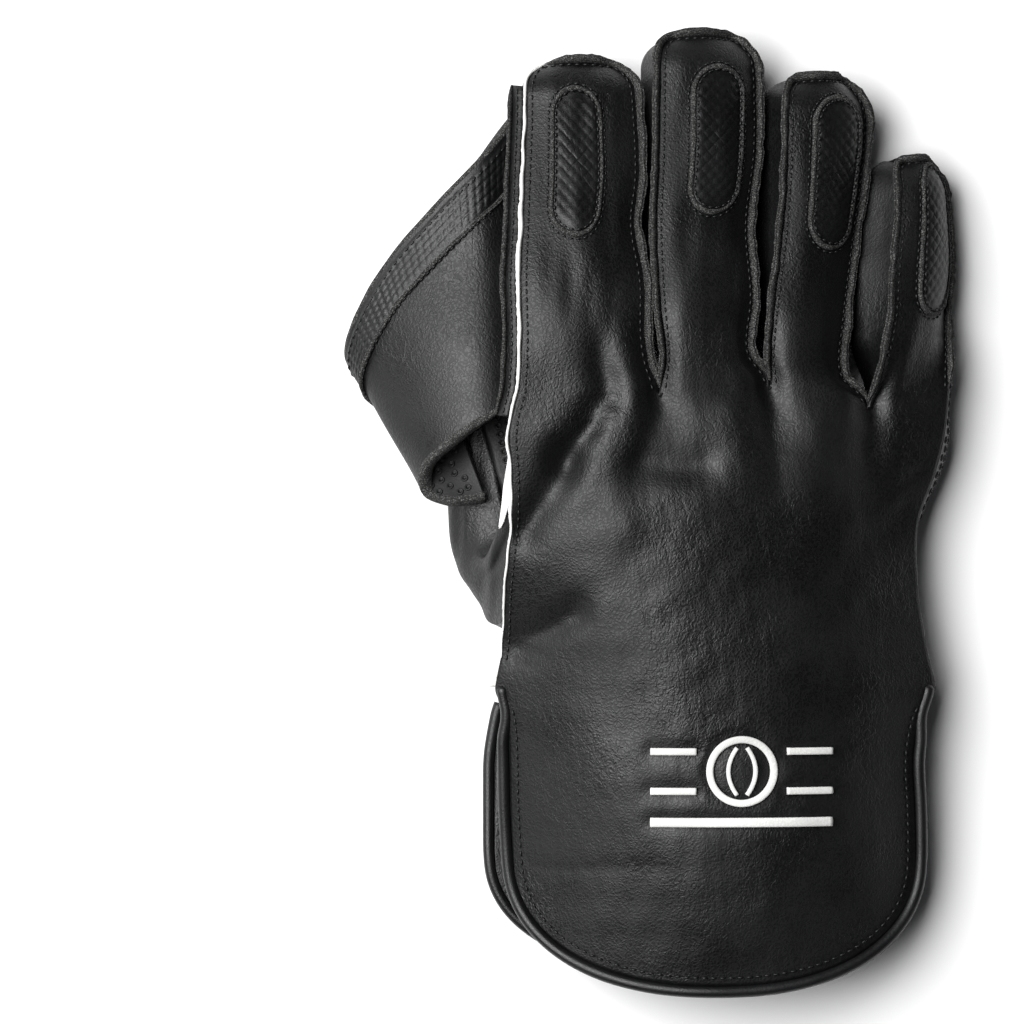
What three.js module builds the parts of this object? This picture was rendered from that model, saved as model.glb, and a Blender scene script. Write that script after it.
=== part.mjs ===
// A wicketkeeping glove for the right hand, lying palm down.
// Millimetres, +Z up. The fingers point along +Y and the thumb lies on the -X side.
// The origin is the middle of the flat heel of the palm, on the surface that the glove lies on.
import * as THREE from "three";

// Body of the glove, measured from the origin
const heelToHem = 118;
const heelToWrist = 21;
const heelToCrotch = 72;
const bodyWidth = 136;
const backHeight = 52;
const palmRise = 30;
const hemCorner = 40;
const hemPower = 2.3;
const wristSag = 6;
const crotchDip = 5;

// Walls and clearances
const leatherWall = 2;
const rubberWall = 3.2;
const seamGap = 0.4;
const seatGap = 0.5;

// Finger stalls: lengths run from the crotch line to the tip, widths are seen from above
const fingerSizes = {
  index: { length: 103, width: 41, rootDepth: 21, depth: 20, roll: 7, tuck: 2.6 },
  middle: { length: 111.4, width: 32, rootDepth: 27, depth: 17, roll: 22, tuck: 1.2 },
  ring: { length: 98, width: 26, rootDepth: 28, depth: 15, roll: 31, tuck: -0.6 },
  little: { length: 72.4, width: 19, rootDepth: 21, depth: 13, roll: 48, tuck: -1.5 },
};
const fingerCrown = 4.2;
const fingerBelly = 3;
const tipRound = 11;

// Standing seams, piping and pads
const outseamWidth = 1.6;
const outseamHeight = 2.6;
const weltWidth = 1.8;
const pipingDiameter = 4;
const padLength = 47;
const padWidth = 17;
const padRim = 1.7;
const padThickness = 1;

// Thumb stall and catching web
const thumbLength = 90;
const thumbWidth = 52;
const thumbHeight = 27;
const webReach = 50;
const webLength = 92;
const webWall = 1.6;
const webStandOff = 0.8;
const webDrop = 3;
const webStripWidth = 20;

// Palm half of the cuff
const flapLength = 87;
const flapWidth = 131;
const flapCorner = 36;
const flapPower = 2.4;
const flapCentre = -5;
const bandWidth = 18;
const bandDrop = 22;
const bandGap = 3;
const bandReach = 0.44;
const channelWidth = 15.7;
const channelLength = 38;
const channelCount = 8;
const channelGap = 1.2;
const barEnd = 3;
const padding = 3.3;

// Raised motif on the back of the cuff
const emblemWidth = 56;
const emblemHeight = 22;
const emblemStroke = 2.2;
const emblemRelief = 0.9;
const emblemSeat = 0.7;
const emblemGap = 3;

// Grid steps
const stepsAcrossFinger = 6;
const fingerRows = 10;
const bodyRows = 9;
const cuffRows = 5;
const wallSteps = 2;

// Where the four crotch lines and edges cross a row of the body, as shares of its width
const columnsAtHem = [0, 0.25, 0.5, 0.75, 1];
const columnsAtCrotch = [0, 0.326, 0.58, 0.811, 1];
// How far each of them lies above the crotch line, as shares of crotchDip
const crotchOffsets = [0, -0.28, 0.22, -1.08, 0.2];

// Side edges of the back: along is the share from hem to crotch, left and right are shares of bodyWidth
const edgeRows = [
  { along: 0.0, left: -0.497, right: 0.482 },
  { along: 0.21, left: -0.504, right: 0.484 },
  { along: 0.305, left: -0.511, right: 0.482 },
  { along: 0.4, left: -0.514, right: 0.477 },
  { along: 0.5, left: -0.518, right: 0.5 },
  { along: 0.575, left: -0.501, right: 0.479 },
  { along: 0.675, left: -0.494, right: 0.458 },
  { along: 0.78, left: -0.48, right: 0.459 },
  { along: 0.86, left: -0.48, right: 0.496 },
  { along: 0.93, left: -0.486, right: 0.52 },
  { along: 1.0, left: -0.464, right: 0.531 },
];

// Height of the back across five stations from the thumb side to the little finger side,
// as shares of backHeight
const backRows = [
  { along: 0.0, heights: [0.3, 0.58, 0.68, 0.56, 0.27] },
  { along: 0.15, heights: [0.32, 0.7, 0.84, 0.7, 0.3] },
  { along: 0.3, heights: [0.37, 0.8, 0.94, 0.8, 0.34] },
  { along: 0.5, heights: [0.52, 0.9, 1.0, 0.83, 0.41] },
  { along: 0.62, heights: [0.68, 0.98, 1.02, 0.84, 0.42] },
  { along: 0.78, heights: [0.92, 1.05, 1.02, 0.82, 0.42] },
  { along: 0.9, heights: [1.02, 1.06, 0.98, 0.78, 0.42] },
  { along: 1.0, heights: [1.04, 1.04, 0.9, 0.72, 0.4] },
];

// Palm panel: left edge as a share of bodyWidth, heights as shares of palmRise.
// A height below nought is pressed flat on the surface that the glove lies on.
const palmRows = [
  { along: 0.51, left: -0.15, heights: [-0.1, -0.2, -0.2, -0.2, 0.2] },
  { along: 0.56, left: -0.165, heights: [-0.1, -0.2, -0.2, -0.2, 0.2] },
  { along: 0.62, left: -0.115, heights: [-0.05, -0.2, -0.2, -0.2, 0.2] },
  { along: 0.68, left: -0.118, heights: [0.12, -0.15, -0.2, -0.2, 0.2] },
  { along: 0.74, left: -0.155, heights: [0.36, 0.02, -0.2, -0.2, 0.2] },
  { along: 0.8, left: -0.21, heights: [0.62, 0.22, -0.08, -0.15, 0.2] },
  { along: 0.87, left: -0.31, heights: [0.88, 0.46, 0.12, -0.05, 0.2] },
  { along: 0.94, left: -0.42, heights: [1.06, 0.72, 0.32, 0.05, 0.2] },
  { along: 1.0, left: -0.462, heights: [1.14, 0.92, 0.5, 0.16, 0.2] },
];

// Finger stalls: centre as a share of bodyWidth, width as a share of the finger's width,
// height of the back's chord as a share of backHeight
const fingerTables = {
  index: [
    { along: 0.0, centre: -0.304, width: 1.06, height: 1.02 },
    { along: 0.15, centre: -0.314, width: 0.96, height: 0.99 },
    { along: 0.33, centre: -0.317, width: 0.965, height: 0.92 },
    { along: 0.5, centre: -0.325, width: 0.87, height: 0.82 },
    { along: 0.65, centre: -0.317, width: 0.9, height: 0.71 },
    { along: 0.85, centre: -0.317, width: 0.86, height: 0.58 },
    { along: 1.0, centre: -0.322, width: 0.84, height: 0.51 },
  ],
  middle: [
    { along: 0.0, centre: -0.014, width: 1.075, height: 0.93 },
    { along: 0.1, centre: -0.032, width: 0.85, height: 0.9 },
    { along: 0.25, centre: -0.034, width: 0.94, height: 0.84 },
    { along: 0.45, centre: -0.043, width: 0.93, height: 0.74 },
    { along: 0.65, centre: -0.03, width: 0.985, height: 0.63 },
    { along: 0.85, centre: -0.027, width: 0.985, height: 0.54 },
    { along: 1.0, centre: -0.03, width: 0.95, height: 0.49 },
  ],
  ring: [
    { along: 0.0, centre: 0.228, width: 1.2, height: 0.74 },
    { along: 0.1, centre: 0.196, width: 0.9, height: 0.71 },
    { along: 0.25, centre: 0.202, width: 0.89, height: 0.66 },
    { along: 0.45, centre: 0.22, width: 0.9, height: 0.59 },
    { along: 0.65, centre: 0.237, width: 0.94, height: 0.53 },
    { along: 0.85, centre: 0.247, width: 1.0, height: 0.48 },
    { along: 1.0, centre: 0.243, width: 0.92, height: 0.45 },
  ],
  little: [
    { along: 0.0, centre: 0.437, width: 1.35, height: 0.5 },
    { along: 0.15, centre: 0.448, width: 1.17, height: 0.48 },
    { along: 0.35, centre: 0.458, width: 0.96, height: 0.45 },
    { along: 0.55, centre: 0.466, width: 0.97, height: 0.42 },
    { along: 0.75, centre: 0.469, width: 0.84, height: 0.38 },
    { along: 1.0, centre: 0.465, width: 0.72, height: 0.34 },
  ],
};

// Folds pressed into the back: ends in shares of bodyWidth and bodyLength from the origin,
// depth and spread in shares of backHeight
const foldTable = [
  { fromX: -0.27, fromY: 0.36, toX: -0.36, toY: 0.26, depth: 0.07, spread: 0.1 },
  { fromX: -0.36, fromY: 0.26, toX: -0.45, toY: 0.15, depth: 0.06, spread: 0.1 },
  { fromX: -0.18, fromY: 0.26, toX: -0.05, toY: 0.25, depth: 0.035, spread: 0.13 },
  { fromX: -0.34, fromY: 0.01, toX: -0.46, toY: -0.04, depth: 0.04, spread: 0.12 },
  { fromX: -0.14, fromY: 0.37, toX: -0.11, toY: 0.26, depth: 0.09, spread: 0.09 },
  { fromX: 0.112, fromY: 0.38, toX: 0.13, toY: 0.27, depth: 0.1, spread: 0.09 },
  { fromX: 0.343, fromY: 0.35, toX: 0.35, toY: 0.23, depth: 0.09, spread: 0.09 },
];

// Thumb stall: ovals along its axis. x is a share of bodyWidth, y of thumbLength, z and rise of
// thumbHeight, reach of thumbWidth; hold is how far the oval has taken over from the base loop.
const thumbRows = [
  { x: -0.42, y: 0.06, z: 0.62, reach: 0.5, rise: 0.6, hold: 0.3 },
  { x: -0.425, y: 0.19, z: 0.6, reach: 0.5, rise: 0.56, hold: 0.72 },
  { x: -0.44, y: 0.34, z: 0.54, reach: 0.5, rise: 0.5, hold: 1 },
  { x: -0.466, y: 0.49, z: 0.49, reach: 0.46, rise: 0.45, hold: 1 },
  { x: -0.5, y: 0.62, z: 0.45, reach: 0.37, rise: 0.41, hold: 1 },
  { x: -0.53, y: 0.74, z: 0.41, reach: 0.28, rise: 0.37, hold: 1 },
  { x: -0.548, y: 0.84, z: 0.38, reach: 0.2, rise: 0.31, hold: 1 },
  { x: -0.556, y: 0.89, z: 0.36, reach: 0.1, rise: 0.17, hold: 1 },
];

// Catching web: its lower free edge and its upper rim from the index finger round to the thumb.
// x is a share of webReach out from the index finger, y of webLength up from the crotch line,
// z of backHeight.
const webRows = [
  { lowX: -0.012, lowY: 0.0, lowZ: 0.72, highX: -0.02, highY: 0.957, highZ: 0.4 },
  { lowX: -0.155, lowY: -0.055, lowZ: 0.78, highX: -0.225, highY: 0.804, highZ: 0.55 },
  { lowX: -0.28, lowY: -0.1, lowZ: 0.78, highX: -0.48, highY: 0.65, highZ: 0.54 },
  { lowX: -0.42, lowY: -0.158, lowZ: 0.72, highX: -0.77, highY: 0.47, highZ: 0.44 },
  { lowX: -0.525, lowY: -0.21, lowZ: 0.63, highX: -0.985, highY: 0.267, highZ: 0.31 },
  { lowX: -0.56, lowY: -0.265, lowZ: 0.55, highX: -1.02, highY: 0.135, highZ: 0.2 },
  { lowX: -0.53, lowY: -0.32, lowZ: 0.51, highX: -0.82, highY: 0.05, highZ: 0.15 },
  { lowX: -0.39, lowY: -0.345, lowZ: 0.55, highX: -0.575, highY: 0.02, highZ: 0.215 },
  { lowX: -0.19, lowY: -0.33, lowZ: 0.56, highX: -0.41, highY: 0.01, highZ: 0.36 },
];
const webStations = 16;
const webStepsAcross = 5;

const bodyLength = heelToHem + heelToCrotch;
const fingerNames = Object.keys(fingerSizes);
const degrees = Math.PI / 180;

// Small helpers for numbers and points
const mix = (a, b, share) => a + (b - a) * share;
const mixPoints = (a, b, share) => a.map((value, axis) => mix(value, b[axis], share));
const add = (a, b, scale = 1) => a.map((value, axis) => value + b[axis] * scale);
const dot = (a, b) => a[0] * b[0] + a[1] * b[1] + a[2] * b[2];
const cross = (a, b) => [
  a[1] * b[2] - a[2] * b[1],
  a[2] * b[0] - a[0] * b[2],
  a[0] * b[1] - a[1] * b[0],
];
const unit = (a) => {
  const length = Math.hypot(...a) || 1;
  return a.map((value) => value / length);
};
const steps = (count) => Array.from({ length: count + 1 }, (_, i) => i / count);
const eased = (from, to, value) => {
  const share = Math.min(1, Math.max(0, (value - from) / (to - from)));
  return share * share * (3 - 2 * share);
};

// A smooth curve through values given at rising places, read at one place
function smoothAt(places, values, place) {
  const last = places.length - 1;
  const at = Math.min(places[last], Math.max(places[0], place));
  let i = 0;
  while (i < last - 1 && at > places[i + 1]) i += 1;
  const span = places[i + 1] - places[i];
  const slope = (k) => {
    const low = Math.max(0, k - 1);
    const high = Math.min(last, k + 1);
    return ((values[high] - values[low]) / (places[high] - places[low])) * span;
  };
  const t = (at - places[i]) / span;
  const a = values[i];
  const b = values[i + 1];
  const rise = slope(i);
  const fall = slope(i + 1);
  return a + t * (rise + t * (3 * (b - a) - 2 * rise - fall + t * (2 * (a - b) + rise + fall)));
}
const readTable = (rows, column, along) =>
  smoothAt(
    rows.map((row) => row.along),
    rows.map((row) => row[column]),
    along,
  );
function readHeights(rows, along, across) {
  const places = rows.map((row) => row.along);
  const values = rows[0].heights.map((_, i) =>
    smoothAt(places, rows.map((row) => row.heights[i]), along),
  );
  return smoothAt(values.map((_, i) => i / (values.length - 1)), values, across);
}

// Back of the body and cuff
const alongOf = (y) => (y + heelToHem) / bodyLength;
const backLeft = (y) => readTable(edgeRows, "left", alongOf(y)) * bodyWidth;
const backRight = (y) => readTable(edgeRows, "right", alongOf(y)) * bodyWidth;

function foldDepth(x, y) {
  return foldTable.reduce((sum, fold) => {
    const from = [fold.fromX * bodyWidth, fold.fromY * bodyLength];
    const to = [fold.toX * bodyWidth, fold.toY * bodyLength];
    const run = [to[0] - from[0], to[1] - from[1]];
    const share = ((x - from[0]) * run[0] + (y - from[1]) * run[1]) / (run[0] ** 2 + run[1] ** 2);
    const near = Math.min(1, Math.max(0, share));
    const away = Math.hypot(x - from[0] - run[0] * near, y - from[1] - run[1] * near);
    return sum + fold.depth * backHeight * Math.exp(-((away / (fold.spread * backHeight)) ** 2));
  }, 0);
}

function backZ(x, y) {
  const across = (x - backLeft(y)) / (backRight(y) - backLeft(y));
  return readHeights(backRows, alongOf(y), across) * backHeight - foldDepth(x, y);
}

// The share of the width at which a column coordinate lies: 0 is the thumb side, 4 the little side
function columnShare(column, along) {
  const whole = Math.min(fingerNames.length - 1, Math.floor(column));
  const table = columnsAtHem.map((share, i) =>
    mix(share, columnsAtCrotch[i], eased(0.45, 1, along)),
  );
  return mix(table[whole], table[whole + 1], column - whole);
}

function crotchLift(column) {
  const whole = Math.min(fingerNames.length - 1, Math.floor(column));
  return mix(crotchOffsets[whole], crotchOffsets[whole + 1], column - whole) * crotchDip;
}

// A row of the body from the wrist, 0, to the crotch line, 1
function bodyY(column, share) {
  return mix(-heelToWrist, heelToCrotch, share) + crotchLift(column) * eased(0.6, 1, share);
}

function backPoint(column, share) {
  const y = bodyY(column, share);
  const x = mix(backLeft(y), backRight(y), columnShare(column, alongOf(y)));
  return [x, y, backZ(x, y)];
}

// A row of the cuff from the hem, 0, to the wrist, 1. The hem is a superellipse.
function cuffPoint(column, share) {
  const even = columnShare(column, 0);
  const round = (1 - Math.cos(Math.PI * even)) / 2;
  const across = mix(mix(even, round, 0.6), even, eased(0, 0.7, share));
  const side = Math.abs(2 * across - 1);
  const drop = (1 - side ** hemPower) ** (1 / hemPower);
  const inset = pipingDiameter * (1 - eased(0.8, 1, share));
  const hemY = -heelToHem + pipingDiameter + hemCorner * (1 - drop);
  const y = mix(hemY, -heelToWrist, share);
  const x = mix(backLeft(y) + inset, backRight(y) - inset, across);
  return [x, y, backZ(x, y)];
}

// Palm of the body, pressed flat where the table goes below nought
function palmPoint(column, share) {
  const y = bodyY(column, share);
  const along = alongOf(y);
  const left = readTable(palmRows, "left", along) * bodyWidth;
  const right = backRight(y) - 2 + 4 * eased(0.78, 0.88, along) * (1 - eased(0.9, 1, along));
  const across = columnShare(column, along);
  const lift = readHeights(palmRows, along, across) * palmRise;
  return [mix(left, right, across), y, Math.max(0, lift)];
}

// One finger stall: across runs 0 to 1 from its thumb side, along 0 to 1 from crotch to tip.
// It is a rolled box with a crowned back and belly, rounded at the tip.
function fingerPoint(finger, across, along, onPalm) {
  const name = fingerNames[finger];
  const size = fingerSizes[name];
  const table = fingerTables[name];
  const column = finger + across;
  const root = onPalm ? palmPoint(column, 1) : backPoint(column, 1);
  const tipY = heelToCrotch + size.length;
  const rounding = tipRound / size.length;
  const cap = Math.max(0, (along - (1 - rounding)) / rounding);
  const capRow = cap * (0.9 + 0.1 * (1 - (2 * across - 1) ** 2));
  const y = mix(root[1], tipY, 1 - rounding + rounding * capRow);
  const straightY = mix(root[1], tipY, along);
  const narrowing = (1 - Math.min(0.9, cap * 0.9) ** 2.6) ** (1 / 2.6);
  const width = readTable(table, "width", along) * size.width * narrowing;
  const centre = readTable(table, "centre", along) * bodyWidth;
  const chord = readTable(table, "height", along) * backHeight;
  const offset = (across - 0.5) * width;
  const lean = [Math.sin(size.roll * degrees), Math.cos(size.roll * degrees)];
  const bulge = 1 - Math.abs(2 * across - 1) ** 2.2;
  const taken = eased(0, 0.3, along);
  const depth = mix(size.rootDepth, size.depth, eased(0, 0.6, along));
  const tipSink = cap ** 2 * size.depth * 0.26;
  let out = fingerCrown * bulge - tipSink;
  if (onPalm) out = -depth - fingerBelly * bulge + tipSink;
  const tuck = onPalm ? (across * 2 - 1) * -size.tuck : 0;
  const sideways = onPalm ? out + depth - size.depth : out;
  const x = centre + offset + (sideways * lean[0] + tuck) * taken;
  const z = chord - offset * Math.tan(size.roll * degrees) + out * lean[1];
  const rootX = mix(
    mix(backLeft(root[1]), backRight(root[1]), columnShare(column, 1)),
    centre + offset,
    eased(0, 0.08, along),
  );
  const seatX = rootX + (x - centre - offset);
  return [seatX, cap > 0 ? y : straightY, Math.max(0.4, mix(root[2], z, taken))];
}

// Sheets are lists of faces, each a list of points seen counterclockwise from outside
function gridFaces(grid, flipped) {
  const faces = [];
  for (let row = 0; row + 1 < grid.length; row += 1) {
    for (let i = 0; i + 1 < grid[row].length; i += 1) {
      const face = [grid[row][i], grid[row][i + 1], grid[row + 1][i + 1], grid[row + 1][i]];
      faces.push(flipped ? face.reverse() : face);
    }
  }
  return faces;
}
const keyOf = (point) => point.map((value) => Math.round(value * 1000)).join();
const withoutRepeats = (face) =>
  face.filter((point, i) => keyOf(point) !== keyOf(face[(i + 1) % face.length]));

// The outward direction at each corner of a set of sheets, long enough to keep a wall's thickness
function cornerNormals(sheets) {
  const sums = new Map();
  const normals = new Map();
  sheets.flat().map(withoutRepeats).forEach((face) => {
    face.forEach((point, i) => {
      const next = face[(i + 1) % face.length];
      const before = face[(i + face.length - 1) % face.length];
      const normal = cross(add(next, point, -1), add(before, point, -1));
      if (Math.hypot(...normal) < 1e-9) return;
      const key = keyOf(point);
      if (!normals.has(key)) normals.set(key, []);
      normals.get(key).push(unit(normal));
      sums.set(key, add(sums.get(key) ?? [0, 0, 0], unit(normal)));
    });
  });
  const result = new Map();
  normals.forEach((list, key) => {
    const mean = unit(sums.get(key));
    const closest = list.reduce((least, normal) => Math.min(least, dot(mean, normal)), 1);
    result.set(key, mean.map((value) => value / Math.max(0.6, closest)));
  });
  return result;
}

// A sheet drawn in from its edges by half the seam gap and given a wall, as one closed body
function wallBody(faces, normals, wall, lift = 0) {
  const ids = new Map();
  const points = [];
  const idOf = (point) => {
    const key = keyOf(point);
    if (!ids.has(key)) {
      ids.set(key, points.length);
      points.push({ point, normal: normals.get(key), inward: [0, 0, 0] });
    }
    return ids.get(key);
  };
  const loops = faces
    .map((face) => face.map(idOf))
    .map((loop) => loop.filter((id, i) => id !== loop[(i + 1) % loop.length]))
    .filter((loop) => loop.length > 2);
  const edges = new Map();
  loops.forEach((loop) =>
    loop.forEach((id, i) => edges.set(id + "_" + loop[(i + 1) % loop.length], loop)),
  );
  const rim = [...edges.keys()]
    .map((key) => key.split("_").map(Number))
    .filter(([from, to]) => !edges.has(to + "_" + from));
  rim.forEach(([from, to]) => {
    const run = add(points[to].point, points[from].point, -1);
    const inward = unit(cross(points[from].normal, run));
    points[from].inward = add(points[from].inward, inward);
    points[to].inward = add(points[to].inward, inward);
  });
  const half = points.length;
  const position = [];
  const place = (corner, depth) => {
    const drawn = add(corner.point, unit(corner.inward), seamGap / 2);
    const still = Math.hypot(...corner.inward) < 1e-9 ? corner.point : drawn;
    return add(still, corner.normal, depth);
  };
  points.forEach((corner) => position.push(...place(corner, lift)));
  points.forEach((corner) => {
    const onRim = Math.hypot(...corner.inward) > 1e-9;
    position.push(...place(corner, lift - (onRim ? Math.min(wall, leatherWall) : wall)));
  });
  const index = [];
  loops.forEach((loop) => {
    for (let i = 1; i + 1 < loop.length; i += 1) {
      index.push(loop[0], loop[i], loop[i + 1]);
      index.push(loop[0] + half, loop[i + 1] + half, loop[i] + half);
    }
  });
  // Two sheets that share a seam split its strip along the same diagonal
  rim.forEach(([from, to]) => {
    if (keyOf(points[from].point) < keyOf(points[to].point)) {
      index.push(from, from + half, to + half, from, to + half, to);
    } else {
      index.push(from, from + half, to, from + half, to + half, to);
    }
  });
  return solidGeometry(position, index);
}

function solidGeometry(position, index) {
  const geometry = new THREE.BufferGeometry();
  geometry.setAttribute("position", new THREE.Float32BufferAttribute(position, 3));
  geometry.setIndex(index);
  geometry.computeVertexNormals();
  return geometry;
}

// A closed bar along a path: each section is a ring of points, the ends are closed by fans
function barBody(sections) {
  const sides = sections[0].length;
  const position = sections.flat(2);
  const index = [];
  for (let row = 0; row + 1 < sections.length; row += 1) {
    for (let i = 0; i < sides; i += 1) {
      const a = row * sides + i;
      const b = row * sides + ((i + 1) % sides);
      index.push(a, b, b + sides, a, b + sides, a + sides);
    }
  }
  const end = (sections.length - 1) * sides;
  for (let i = 1; i + 1 < sides; i += 1) {
    index.push(0, i + 1, i);
    index.push(end, end + i, end + i + 1);
  }
  return solidGeometry(position, index);
}

// Sections of a round cord along a path
function cordSections(path, radius, sides) {
  return path.map((point, i) => {
    const before = path[Math.max(0, i - 1)];
    const next = path[Math.min(path.length - 1, i + 1)];
    const run = unit(add(next, before, -1));
    const side = unit(cross(run, [0, 0, 1]));
    const up = cross(side, run);
    return steps(sides)
      .slice(1)
      .map((turn) => {
        const angle = turn * 2 * Math.PI;
        return add(add(point, side, -Math.cos(angle) * radius), up, Math.sin(angle) * radius);
      });
  });
}

// Materials, one for each finish
const finishes = {
  black_leather: { color: 0x17181b, roughness: 0.45, metalness: 0 },
  pimple_rubber: { color: 0x0d0d0e, roughness: 0.72, metalness: 0 },
  white_leather: { color: 0xdedede, roughness: 0.6, metalness: 0 },
  embossed_leather: { color: 0x131416, roughness: 0.5, metalness: 0 },
  raw_edge: { color: 0x3d3e41, roughness: 0.9, metalness: 0 },
  piping: { color: 0x1b1c1f, roughness: 0.4, metalness: 0 },
};
const glove = new THREE.Group();
function addPiece(name, finish, geometry) {
  const mesh = new THREE.Mesh(geometry, new THREE.MeshStandardMaterial(finishes[finish]));
  mesh.name = name;
  glove.add(mesh);
}

// Grids of the back and the palm. Finger rows are closer together at the crotch and at the tip.
const fingerStations = steps(fingerRows).map(
  (share) => share - (0.6 * Math.sin(2 * Math.PI * share)) / (2 * Math.PI),
);
const bodyColumns = steps(fingerNames.length * stepsAcrossFinger).map(
  (share) => share * fingerNames.length,
);
const bodyStations = steps(bodyRows);
const backBody = bodyStations.map((share) => bodyColumns.map((column) => backPoint(column, share)));
const palmBody = bodyStations.map((share) => bodyColumns.map((column) => palmPoint(column, share)));
const cuffGrid = steps(cuffRows).map((share) => bodyColumns.map((column) => cuffPoint(column, share)));
cuffGrid[cuffRows] = backBody[0];

function fingerGrid(finger, onPalm) {
  const body = onPalm ? palmBody : backBody;
  const first = finger * stepsAcrossFinger;
  const rows = fingerStations.map((along) =>
    steps(stepsAcrossFinger).map((across) => fingerPoint(finger, across, along, onPalm)),
  );
  rows[0] = body[bodyRows].slice(first, first + stepsAcrossFinger + 1);
  return rows;
}
const backFingers = fingerNames.map((_, finger) => fingerGrid(finger, false));
const palmFingers = fingerNames.map((_, finger) => fingerGrid(finger, true));

// Outlines of a finger, walked counterclockwise seen from above
const middleStep = stepsAcrossFinger / 2;
const rightEdge = (grid) => grid.map((row) => row[stepsAcrossFinger]);
const leftEdge = (grid) => grid.map((row) => row[0]);
const tipHalf = (grid, from, to) => {
  const tip = grid[fingerRows].slice(Math.min(from, to), Math.max(from, to) + 1);
  return from > to ? tip.reverse() : tip;
};
const downLeft = (grid) => [
  ...tipHalf(grid, middleStep, 0),
  ...leftEdge(grid).reverse().slice(1),
];
const upRight = (grid) => [
  ...rightEdge(grid),
  ...tipHalf(grid, stepsAcrossFinger, middleStep).slice(1),
];

// A wall between a line of the back and the same line of the palm, with a slight outward swell
function wallGrid(top, bottom, swell, count = wallSteps) {
  return top.map((point, i) => {
    const before = top[Math.max(0, i - 1)];
    const next = top[Math.min(top.length - 1, i + 1)];
    const run = add(next, before, -1);
    const out = unit([run[1], -run[0], 0]);
    return steps(count).map((share) =>
      add(mixPoints(point, bottom[i], share), out, swell * Math.sin(Math.PI * share)),
    );
  });
}

// Rows of the body at which the thumb stall opens: it starts above the wrist panel
const thumbRowLow = 2;
const thumbRowHigh = 7;
const leftOf = (grid, from, to) => grid.slice(from, to + 1).map((row) => row[0]);

const indexSide = wallGrid(
  [...downLeft(backFingers[0]), ...leftOf(backBody, thumbRowHigh, bodyRows - 1).reverse()],
  [...downLeft(palmFingers[0]), ...leftOf(palmBody, thumbRowHigh, bodyRows - 1).reverse()],
  1.2,
);
const rightOf = (grid) => grid.slice(0, bodyRows).map((row) => row[row.length - 1]);
const littleSide = wallGrid(
  [...rightOf(backBody), ...upRight(backFingers[3])],
  [...rightOf(palmBody), ...upRight(palmFingers[3])],
  1.2,
);
const gussets = [0, 1, 2].map((finger) =>
  wallGrid(
    [...downLeft(backFingers[finger + 1]), ...upRight(backFingers[finger]).slice(1)],
    [...downLeft(palmFingers[finger + 1]), ...upRight(palmFingers[finger]).slice(1)],
    -0.8,
  ),
);

// White panel from the thumb side of the back round to the palm, between thumb stall and cuff
const wristSteps = 6;
function wristPoint(row, share) {
  const top = backBody[row][0];
  const bottom = palmBody[row][0];
  const sideways = share ** 1.7;
  const down = 1 - (1 - share) ** 2.4;
  const sag = (row / thumbRowLow) * -wristSag * Math.sin(Math.PI * share);
  return [
    mix(top[0], bottom[0], sideways),
    mix(top[1], bottom[1], share) + sag,
    mix(top[2], bottom[2], down),
  ];
}
const wristGrid = steps(thumbRowLow).map((_, row) =>
  steps(wristSteps).map((share) => {
    if (share === 0) return backBody[row][0];
    if (share === 1) return palmBody[row][0];
    return wristPoint(row, share);
  }),
);

// Thumb stall: its base loop follows the back's edge, the index side, the palm's edge and the
// wrist panel, and it runs into ovals
const baseLoop = [
  ...leftOf(backBody, thumbRowLow, thumbRowHigh),
  ...indexSide[indexSide.length - 1].slice(1, -1),
  ...leftOf(palmBody, thumbRowLow, thumbRowHigh).reverse(),
  ...wristGrid[thumbRowLow].slice(1, -1).reverse(),
];
const backShare = thumbRowHigh - thumbRowLow;
const sideShare = wallSteps;
const loopAngles = [208, 138, 70, -38, -152];
const loopStops = [0, backShare, backShare + sideShare, 2 * backShare + sideShare, baseLoop.length];
const loopTurns = baseLoop.map((_, i) => {
  const part = loopStops.findIndex((stop, k) => i >= stop && i < loopStops[k + 1]);
  const share = (i - loopStops[part]) / (loopStops[part + 1] - loopStops[part]);
  return mix(loopAngles[part], loopAngles[part + 1], share) * degrees;
});
const thumbAxis = unit([-0.42, 0.9, 0]);
const thumbSide = [thumbAxis[1], -thumbAxis[0], 0];
function thumbRing(row) {
  const centre = [row.x * bodyWidth, row.y * thumbLength, row.z * thumbHeight];
  return baseLoop.map((base, i) => {
    const flat = Math.cos(loopTurns[i]) * row.reach * thumbWidth;
    const high = Math.sin(loopTurns[i]) * row.rise * thumbHeight;
    const oval = add(centre, thumbSide, flat);
    oval[2] = Math.max(0.2, oval[2] + high);
    return mixPoints(base, oval, row.hold);
  });
}
const thumbRings = [baseLoop, ...thumbRows.map(thumbRing)];
const lastRing = thumbRings[thumbRings.length - 1];
const thumbTip = lastRing
  .reduce((sum, point) => add(sum, point, 1 / lastRing.length), [0, 0, 0])
  .map((value, axis) => value + thumbAxis[axis] * 2.5);
thumbRings.push(lastRing.map(() => thumbTip));

// The seam between the stall's leather and its rubber runs along two lines of the rings
const seamLow = baseLoop.length - 2;
const seamHigh = backShare + 1;
function thumbFaces(from, to) {
  const count = (to - from + baseLoop.length) % baseLoop.length;
  const columns = steps(count).map((_, i) => (from + i) % baseLoop.length);
  return gridFaces(
    thumbRings.map((ring) => columns.map((column) => ring[column])),
    false,
  );
}

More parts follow.
